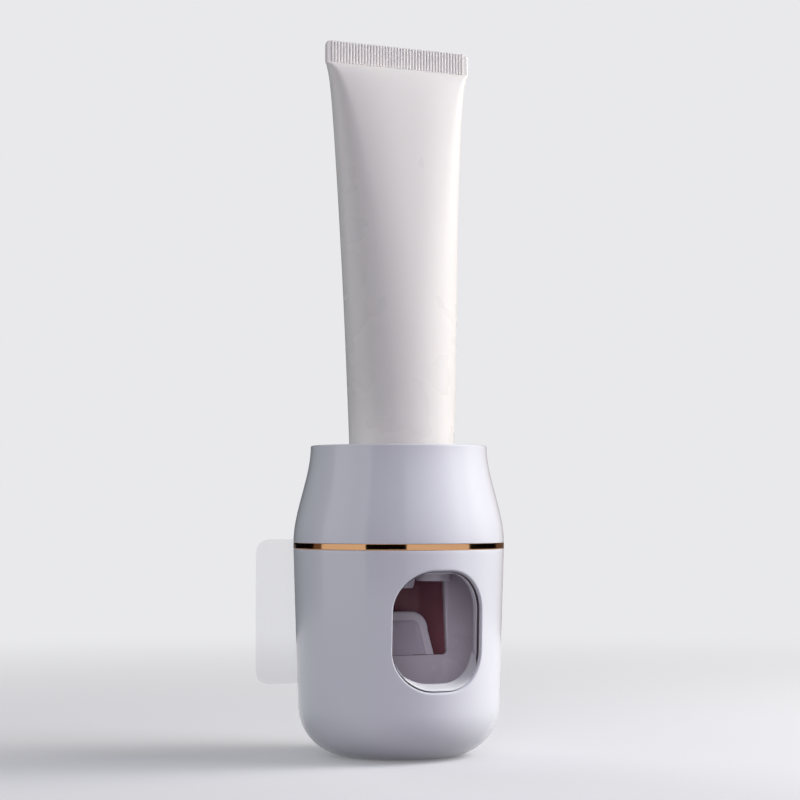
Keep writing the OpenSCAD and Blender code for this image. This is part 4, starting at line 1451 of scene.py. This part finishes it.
@dataclass
class Tube:
    """The laminate tube that stands in the housing with its crimp up. Sizes are in millimetres."""

    radius: float = 17.8
    sleeve_low: float = 89.2
    sleeve_length: float = 159.8
    crimp_height: float = 8.0
    crimp_thickness: float = 0.9
    crimp_corner: float = 2.2
    swell: float = 16.0
    swell_power: float = 0.32
    foot_power: int = 8
    sides: int = 192
    levels: int = 110
    level_crowding: float = 1.9
    top_edge: float = 0.12
    rib_pitch: float = 1.18
    rib_relief: float = 0.3
    rib_radius_share: float = 0.36
    rib_side_space: float = 2.0
    rib_end_space: float = 0.6
    rib_drop: float = 0.05
    crease: float = 0.6
    crease_reach: float = 0.6
    lean: float = -1.75
    foot_shift: float = 1.3
    foot_share: float = 0.16
    lean_share: float = 0.8
    crimp_slope: float = -0.01
    slope_share: float = 0.25
    flare: float = 0.65
    flare_reach: float = 5.0

    def half_depth(self, share: float) -> float:
        """Half the sleeve's depth at a share of its length below the crimp."""
        depth = self.swell * share ** self.swell_power + (self.radius - self.swell) * share ** self.foot_power
        return max(self.crimp_thickness / 2, depth)

    def half_width(self, depth: float) -> float:
        """Half the sleeve's width, from its girth, at that half depth."""
        flat = math.pi * self.radius / 2
        return flat - (flat - self.radius) * (depth / self.radius) ** (5 / 3)

    def section(self, half_w: float, half_d: float, flat_share: float) -> list[Flat]:
        """A closed section with its points evenly spaced along the film.

        Args:
            half_w: half its width
            half_d: half its depth
            flat_share: 0 is an ellipse, 1 is two flats joined by round ends

        Returns:
            Points in X and depth.
        """
        fine = 300
        straight = half_w - half_d
        arc = half_d * math.pi / 2
        quarter = []
        for k in range(fine + 1):
            a = math.pi / 2 * smooth_step(k / fine)
            along = (straight + arc) * k / fine
            if along < arc:
                stadium = (straight + half_d * math.cos(along / half_d), half_d * math.sin(along / half_d))
            else:
                stadium = (straight - (along - arc), half_d)
            ellipse = (half_w * math.cos(a), half_d * math.sin(a))
            quarter.append(tuple(blend(e, s, flat_share) for e, s in zip(ellipse, stadium)))
        quarter[-1] = (0.0, half_d)
        lengths = [0.0]
        for a, b in zip(quarter, quarter[1:]):
            lengths.append(lengths[-1] + math.dist(a, b))
        count = self.sides // 4
        even, at = [], 0
        for k in range(count):
            wanted = lengths[-1] * k / count
            while lengths[at + 1] < wanted:
                at += 1
            share = (wanted - lengths[at]) / (lengths[at + 1] - lengths[at])
            even.append(tuple(blend(a, b, share) for a, b in zip(quarter[at], quarter[at + 1])))
        even.append((0.0, half_d))
        right_back = even[:-1]
        left_back = [(-x, y) for x, y in reversed(even[1:])]
        left_front = [(-x, -y) for x, y in even[:-1]]
        right_front = [(x, -y) for x, y in reversed(even[1:])]
        return right_back + left_back + left_front + right_front

    def drifted(self, x: float, height: float) -> Flat:
        """Where a point of the film lies once the filled tube has leant and its seal has come out askew.

        Args:
            x: distance from the tube's middle, as drawn
            height: height as drawn

        Returns:
            The same point's X and height.
        """
        share = (height - self.sleeve_low) / self.sleeve_length
        shift = self.foot_shift * smooth_step(share / self.foot_share)
        shift += self.lean * smooth_step((share - self.foot_share) / self.lean_share)
        slope = self.crimp_slope * smooth_step((share - 1 + self.slope_share) / self.slope_share)
        return (x + shift, height + slope * (x + math.pi * self.radius / 2))

    def sleeve(self) -> bpy.types.Object:
        """The film sleeve: round at its foot, flat at its crimp, with the two soft creases between."""
        draft = Draft()
        top = self.sleeve_low + self.sleeve_length
        rows = []
        for k in range(self.levels + 1):
            share = (1 - k / self.levels) ** self.level_crowding
            depth = self.half_depth(share)
            below = share * self.sleeve_length
            flared = self.half_width(depth) + self.flare * math.exp(-below / self.flare_reach)
            # The creases fade downwards, where the paste fills the film out round
            flats = self.crease * (1 - smooth_step(share / self.crease_reach)) if share > 0 else 1.0
            rows.append(self.film_row(draft, flared, depth, top - below, flats))
        flat = math.pi * self.radius / 2 + self.flare
        half = self.crimp_thickness / 2
        corner = [
            (flat - self.crimp_corner * (1 - math.cos(a)),
             top + self.crimp_height - self.crimp_corner * (1 - math.sin(a)))
            for a in quarter_turn(9)
        ]
        rows += [self.film_row(draft, half_w, half, height, 1.0) for half_w, height in corner[:-1]]
        rows.append(self.film_row(draft, corner[-1][0], half - self.top_edge, corner[-1][1], 1.0))
        draft.solid(rows)
        return draft.piece("tube_film_sleeve", LAMINATE, 60.0)

    def film_row(self, draft: Draft, half_w: float, half_d: float, height: float,
                 flat_share: float) -> list[int]:
        """Adds one level section of the film, drifted.

        Args:
            draft: the mesh that gets it
            half_w: half the section's width
            half_d: half its depth
            height: its height
            flat_share: 0 is an ellipse, 1 is two flats joined by round ends

        Returns:
            The numbers of the section's points.
        """
        points = []
        for x, y in self.section(half_w, half_d, flat_share):
            moved_x, moved_z = self.drifted(x, height)
            points.append((moved_x, y, moved_z))
        return draft.row(points)

    @staticmethod
    def rib_tree(tree: bpy.types.NodeTree, given: bpy.types.NodeOutputs) -> bpy.types.NodeSocket:
        """Nodes that set a row of flattened ribs on the front of the crimp and one on its back.

        Args:
            tree: the tree that gets the nodes
            given: the group's inputs: Count, First, Pitch, Rib Radius, Rib Length, Relief and Thickness

        Returns:
            The socket with both rows.
        """
        rib = add_node(
            tree, "GeometryNodeMeshCylinder", {"fill_type": "NGON"}, Vertices=12,
            Radius=given["Rib Radius"], Depth=given["Rib Length"])
        flatness = computed(tree, "ShaderNodeMath", "DIVIDE", given["Relief"], given["Rib Radius"])
        scale = add_node(tree, "ShaderNodeCombineXYZ", X=1.0, Y=flatness, Z=1.0)
        flat_rib = add_node(
            tree, "GeometryNodeTransform", Geometry=rib.outputs["Mesh"], Scale=scale.outputs[0])
        step = add_node(tree, "ShaderNodeCombineXYZ", X=given["Pitch"])
        line = add_node(
            tree, "GeometryNodeMeshLine", {"mode": "OFFSET"}, Count=given["Count"],
            Start_Location=given["First"], Offset=step.outputs[0])
        front = add_node(
            tree, "GeometryNodeInstanceOnPoints", Points=line.outputs["Mesh"],
            Instance=flat_rib.outputs["Geometry"])
        across = add_node(tree, "ShaderNodeCombineXYZ", Y=given["Thickness"])
        back = add_node(
            tree, "GeometryNodeTransform", Geometry=front.outputs["Instances"], Translation=across.outputs[0])
        both = add_node(tree, "GeometryNodeJoinGeometry")
        for row in (front.outputs["Instances"], back.outputs["Geometry"]):
            tree.links.new(row, both.inputs[0])
        return both.outputs[0]

    def crimp_ribs(self) -> bpy.types.Object:
        """The fine upright ribs that the sealing jaws press into both faces of the crimp."""
        count = int((math.pi * self.radius - self.rib_side_space) / self.rib_pitch)
        first = placed(
            -(count - 1) / 2 * self.rib_pitch, -self.crimp_thickness / 2,
            self.sleeve_low + self.sleeve_length + self.crimp_height / 2 - self.rib_drop)
        ribs = grown("tube_crimp_ribs", LAMINATE, "crimp_ribs", self.rib_tree, {
            "Count": ("NodeSocketInt", count),
            "First": ("NodeSocketVector", first),
            "Pitch": ("NodeSocketFloat", self.rib_pitch * MM),
            "Rib Radius": ("NodeSocketFloat", self.rib_pitch * self.rib_radius_share * MM),
            "Rib Length": ("NodeSocketFloat", (self.crimp_height - self.rib_end_space) * MM),
            "Relief": ("NodeSocketFloat", self.rib_relief * MM),
            "Thickness": ("NodeSocketFloat", self.crimp_thickness * MM),
        })
        for vertex in ribs.data.vertices:
            x, depth, height = vertex.co
            moved_x, moved_z = self.drifted(x / MM, height / MM + PAD_MIDDLE_HEIGHT)
            vertex.co = placed(moved_x, depth / MM + AXIS_TO_WALL, moved_z)
        return ribs

    def build(self) -> None:
        """Builds and fits the tube's pieces."""
        sleeve = self.sleeve()
        fit(sleeve, "tube", "tube_laminate", "tube_sleeve")
        ribs = self.crimp_ribs()
        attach(ribs, "tube")
        log.info("%s: %d faces, on tube", ribs.name, len(ribs.data.polygons))
        shoulder = softened("tube_shoulder", "tube_neck_shoulder", WAXY_HDPE, 0.2)
        fit(shoulder, "tube", "tube_hdpe", "tube_shoulder")


@dataclass
class WallMount:
    """The clear adhesive pad and the plate with the hooks. Sizes are in millimetres."""

    pad_width: float = 80.0
    pad_height: float = 53.5
    pad_corner: float = 6.0
    pad_front: float = 39.0
    pad_back: float = 40.0
    pad_middle: float = 50.2

    def pad(self) -> bpy.types.Object:
        """The clear pad, a thin sheet with soft edges."""
        draft = Draft()
        # From the back round the edge to the front: inset, depth and rounding
        edge = rounded_path([
            (1.0, self.pad_back, 0.0), (0.0, self.pad_back, 0.15), (0.0, self.pad_front, 0.45),
            (1.4, self.pad_front, 0.0),
        ], closed=False)
        rows = []
        for margin, depth in edge:
            w, h = self.pad_width / 2 - margin, self.pad_height / 2 - margin
            corners = [(x, z, self.pad_corner - margin) for x, z in ((-w, -h), (w, -h), (w, h), (-w, h))]
            outline = rounded_path(corners, steps=16)
            rows.append(draft.row((x, depth, self.pad_middle + z) for x, z in outline))
        draft.solid(rows)
        return draft.piece("pad_adhesive_clear", CLEAR_FILM)

    def build(self) -> None:
        """Builds and fits the pieces that stay on the wall."""
        fit(self.pad(), "wall_mount", "clear_film", "adhesive_pad")
        plate = softened("hook_plate", "plate_moulded_hooks", WHITE_ABS, 0.3)
        fit(plate, "wall_mount", "white_abs", "hook_plate")


@dataclass(frozen=True)
class Softbox:
    """One soft lamp, placed by its direction from the object."""

    name: str
    azimuth: float
    elevation: float
    distance: float
    width: float
    height: float
    watts: float
    colour: str


@dataclass(frozen=True)
class Card:
    """An upright card that only reflections see, as a studio sets beside polished metal."""

    name: str
    colour: str
    from_azimuth: float
    to_azimuth: float
    low: float
    high: float


@dataclass
class Studio:
    """The camera, the lamps and the pale floor."""

    azimuth: float = -24.3
    yaw_trim: float = -0.035
    tilt: float = 2.755
    distance: float = 0.795
    eye_height: float = 89.46
    lens: float = 98.74
    aim_height: float = 120.0
    card_distance: float = 0.62
    card_columns: int = 12
    floor_drop: float = 0.15
    floor_radii: tuple[float, ...] = (1.0, 120.0, 800.0, 6000.0)
    floor_steps: int = 96
    floor_fade: Flat = (0.05, 0.75)
    board_seen: str = "#F0F0F4"
    board_lit: str = "#77777B"
    board_roughness: float = 0.8
    backdrop: str = "#E9E9EC"
    even_light: str = "#E9EAF4"
    even_strength: float = 0.16
    lamps: tuple[Softbox, ...] = (
        Softbox("key_right", 80.0, 20.0, 1.0, 0.5, 0.8, 7.4, "#FFFAEC"),
        Softbox("key_right_near", 62.0, 28.0, 0.7, 0.45, 0.5, 3.5, "#F4F6FF"),
        Softbox("fill_front", -25.0, 3.0, 1.05, 0.35, 0.6, 3.1, "#FAF2FF"),
        Softbox("fill_left", -100.0, 5.0, 1.0, 0.5, 0.8, 2.2, "#F4FFFF"),
        Softbox("back_soft", -160.0, 20.0, 1.1, 0.6, 0.8, 2.4, "#FFFFFF"),
    )
    cards: tuple[Card, ...] = (
        Card("card_black_front", "#0A0A0C", -59.0, -16.0, -0.3, 0.5),
        Card("card_black_right", "#0A0A0C", 56.0, 105.0, -0.3, 0.5),
        Card("card_black_left", "#0A0A0C", -205.0, -127.0, -0.3, 0.5),
        Card("card_brown_right", "#6A5A52", 105.0, 150.0, -0.3, 0.5),
        Card("card_brown_left", "#6E5C55", -127.0, -114.0, -0.3, 0.5),
    )

    @staticmethod
    def direction(azimuth: float, elevation: float) -> Vector:
        """The direction at an azimuth from the front and an elevation, in degrees."""
        a, e = math.radians(azimuth), math.radians(elevation)
        return Vector((math.sin(a) * math.cos(e), -math.cos(a) * math.cos(e), math.sin(e)))

    def camera(self) -> None:
        """Adds the camera at the photograph's place."""
        data = bpy.data.cameras.new("camera")
        data.lens = self.lens
        data.sensor_width = 36.0
        data.clip_start = 0.01
        camera = linked("camera", data)
        axis = Vector(placed(0, 0, self.eye_height))
        camera.location = axis + self.direction(self.azimuth, 0) * self.distance
        camera.rotation_euler = (
            math.radians(90 + self.tilt), 0, math.radians(self.azimuth + self.yaw_trim))
        bpy.context.scene.camera = camera

    def light(self) -> None:
        """Adds the lamps, aimed at the middle of the object."""
        aim = Vector(placed(0, 0, self.aim_height))
        for box in self.lamps:
            data = bpy.data.lights.new(box.name, "AREA")
            data.shape = "RECTANGLE"
            data.size, data.size_y = box.width, box.height
            data.energy = box.watts
            data.color = srgb(box.colour)[:3]
            lamp = linked(box.name, data)
            towards = self.direction(box.azimuth, box.elevation)
            lamp.location = aim + towards * box.distance
            lamp.rotation_euler = towards.to_track_quat("Z", "Y").to_euler()
            lamp.visible_glossy = False

    def reflected_cards(self) -> None:
        """Adds the cards. Each glows with its own colour, so the lamps don't change what the metal shows."""
        for card in self.cards:
            material = bpy.data.materials.new("paper_" + card.name)
            tree = emptied(material)
            glow = add_node(tree, "ShaderNodeEmission", Color=srgb(card.colour), Strength=1.0)
            add_node(tree, "ShaderNodeOutputMaterial", Surface=glow.outputs[0])
            draft = Draft()
            columns = []
            for azimuth in evenly(card.from_azimuth, card.to_azimuth, self.card_columns):
                out = self.direction(azimuth, 0) * self.card_distance / MM
                columns.append(draft.row((out.x, out.y, z / MM) for z in (card.low, card.high)))
            draft.strips(columns, closed=False)
            mesh = draft.mesh(card.name)
            mesh.materials.append(material)
            sheet = linked(card.name, mesh)
            for rays in ("camera", "diffuse", "shadow", "transmission", "volume_scatter"):
                setattr(sheet, "visible_" + rays, False)

    @staticmethod
    def seen_rays(tree: bpy.types.NodeTree) -> bpy.types.NodeSocket:
        """Adds nodes that tell the camera's rays, and those seen in gloss or through glass, from the others.

        Args:
            tree: the tree that gets the nodes

        Returns:
            A socket that is 1 for those rays and 0 for the others.
        """
        path = add_node(tree, "ShaderNodeLightPath")
        seen = path.outputs["Is Camera Ray"]
        for name in ("Is Glossy Ray", "Is Transmission Ray"):
            seen = computed(tree, "ShaderNodeMath", "MAXIMUM", seen, path.outputs[name])
        return seen

    def floor(self) -> None:
        """Adds the pale floor, which fades into the backdrop's colour away from the object."""
        material = bpy.data.materials.new("painted_board_pale")
        tree = emptied(material)
        place = add_node(tree, "ShaderNodeTexCoord").outputs["Object"]
        reach = computed(tree, "ShaderNodeVectorMath", "LENGTH", place)
        near, far = self.floor_fade
        fade = add_node(
            tree, "ShaderNodeMapRange", {"interpolation_type": "SMOOTHSTEP"}, Value=reach,
            From_Min=near, From_Max=far, To_Min=0.2, To_Max=1.0)
        # The lamps' light that bounces up is held down by a darker board than the camera sees
        tone = mixed_colours(tree, self.seen_rays(tree), self.board_lit, self.board_seen)
        board = add_node(
            tree, "ShaderNodeBsdfPrincipled", Base_Color=tone, Roughness=self.board_roughness)
        haze = add_node(tree, "ShaderNodeEmission", Color=srgb(self.backdrop), Strength=1.0)
        share = computed(
            tree, "ShaderNodeMath", "MULTIPLY", fade.outputs["Result"], self.seen_rays(tree))
        add_node(tree, "ShaderNodeOutputMaterial", Surface=mixed_shaders(tree, share, board, haze))
        draft = Draft()
        rings = [
            draft.row((x, y, -self.floor_drop) for x, y in circle(radius, self.floor_steps))
            for radius in self.floor_radii
        ]
        draft.strips(rings)
        draft.cap(rings[0])
        mesh = draft.mesh("floor")
        mesh.materials.append(material)
        linked("floor", mesh)

    def world(self) -> None:
        """Sets a dim even light from all round, and a pale backdrop where it is seen."""
        world = bpy.data.worlds.new("studio")
        tree = emptied(world)
        light = add_node(
            tree, "ShaderNodeBackground", Color=srgb(self.even_light), Strength=self.even_strength)
        backdrop = add_node(tree, "ShaderNodeBackground", Color=srgb(self.backdrop), Strength=1.0)
        mix = mixed_shaders(tree, self.seen_rays(tree), light, backdrop)
        add_node(tree, "ShaderNodeOutputWorld", Surface=mix)
        # Sampled as a lamp, the even light stands for the backdrop too, and gloss loses sight of it
        world.cycles.sampling_method = "NONE"
        bpy.context.scene.world = world

    def build(self) -> None:
        """Builds the studio."""
        bpy.context.scene.view_settings.view_transform = "Standard"
        self.camera()
        self.light()
        self.reflected_cards()
        self.floor()
        self.world()


def main() -> None:
    """Builds the studio and every sub-assembly."""
    logging.basicConfig(level=logging.INFO, format="%(message)s")
    Studio().build()
    WallMount().build()
    Housing().build()
    Mechanism().build()
    Paddle().build()
    Collar().build()
    Tube().build()


if __name__ == "__main__":
    main()
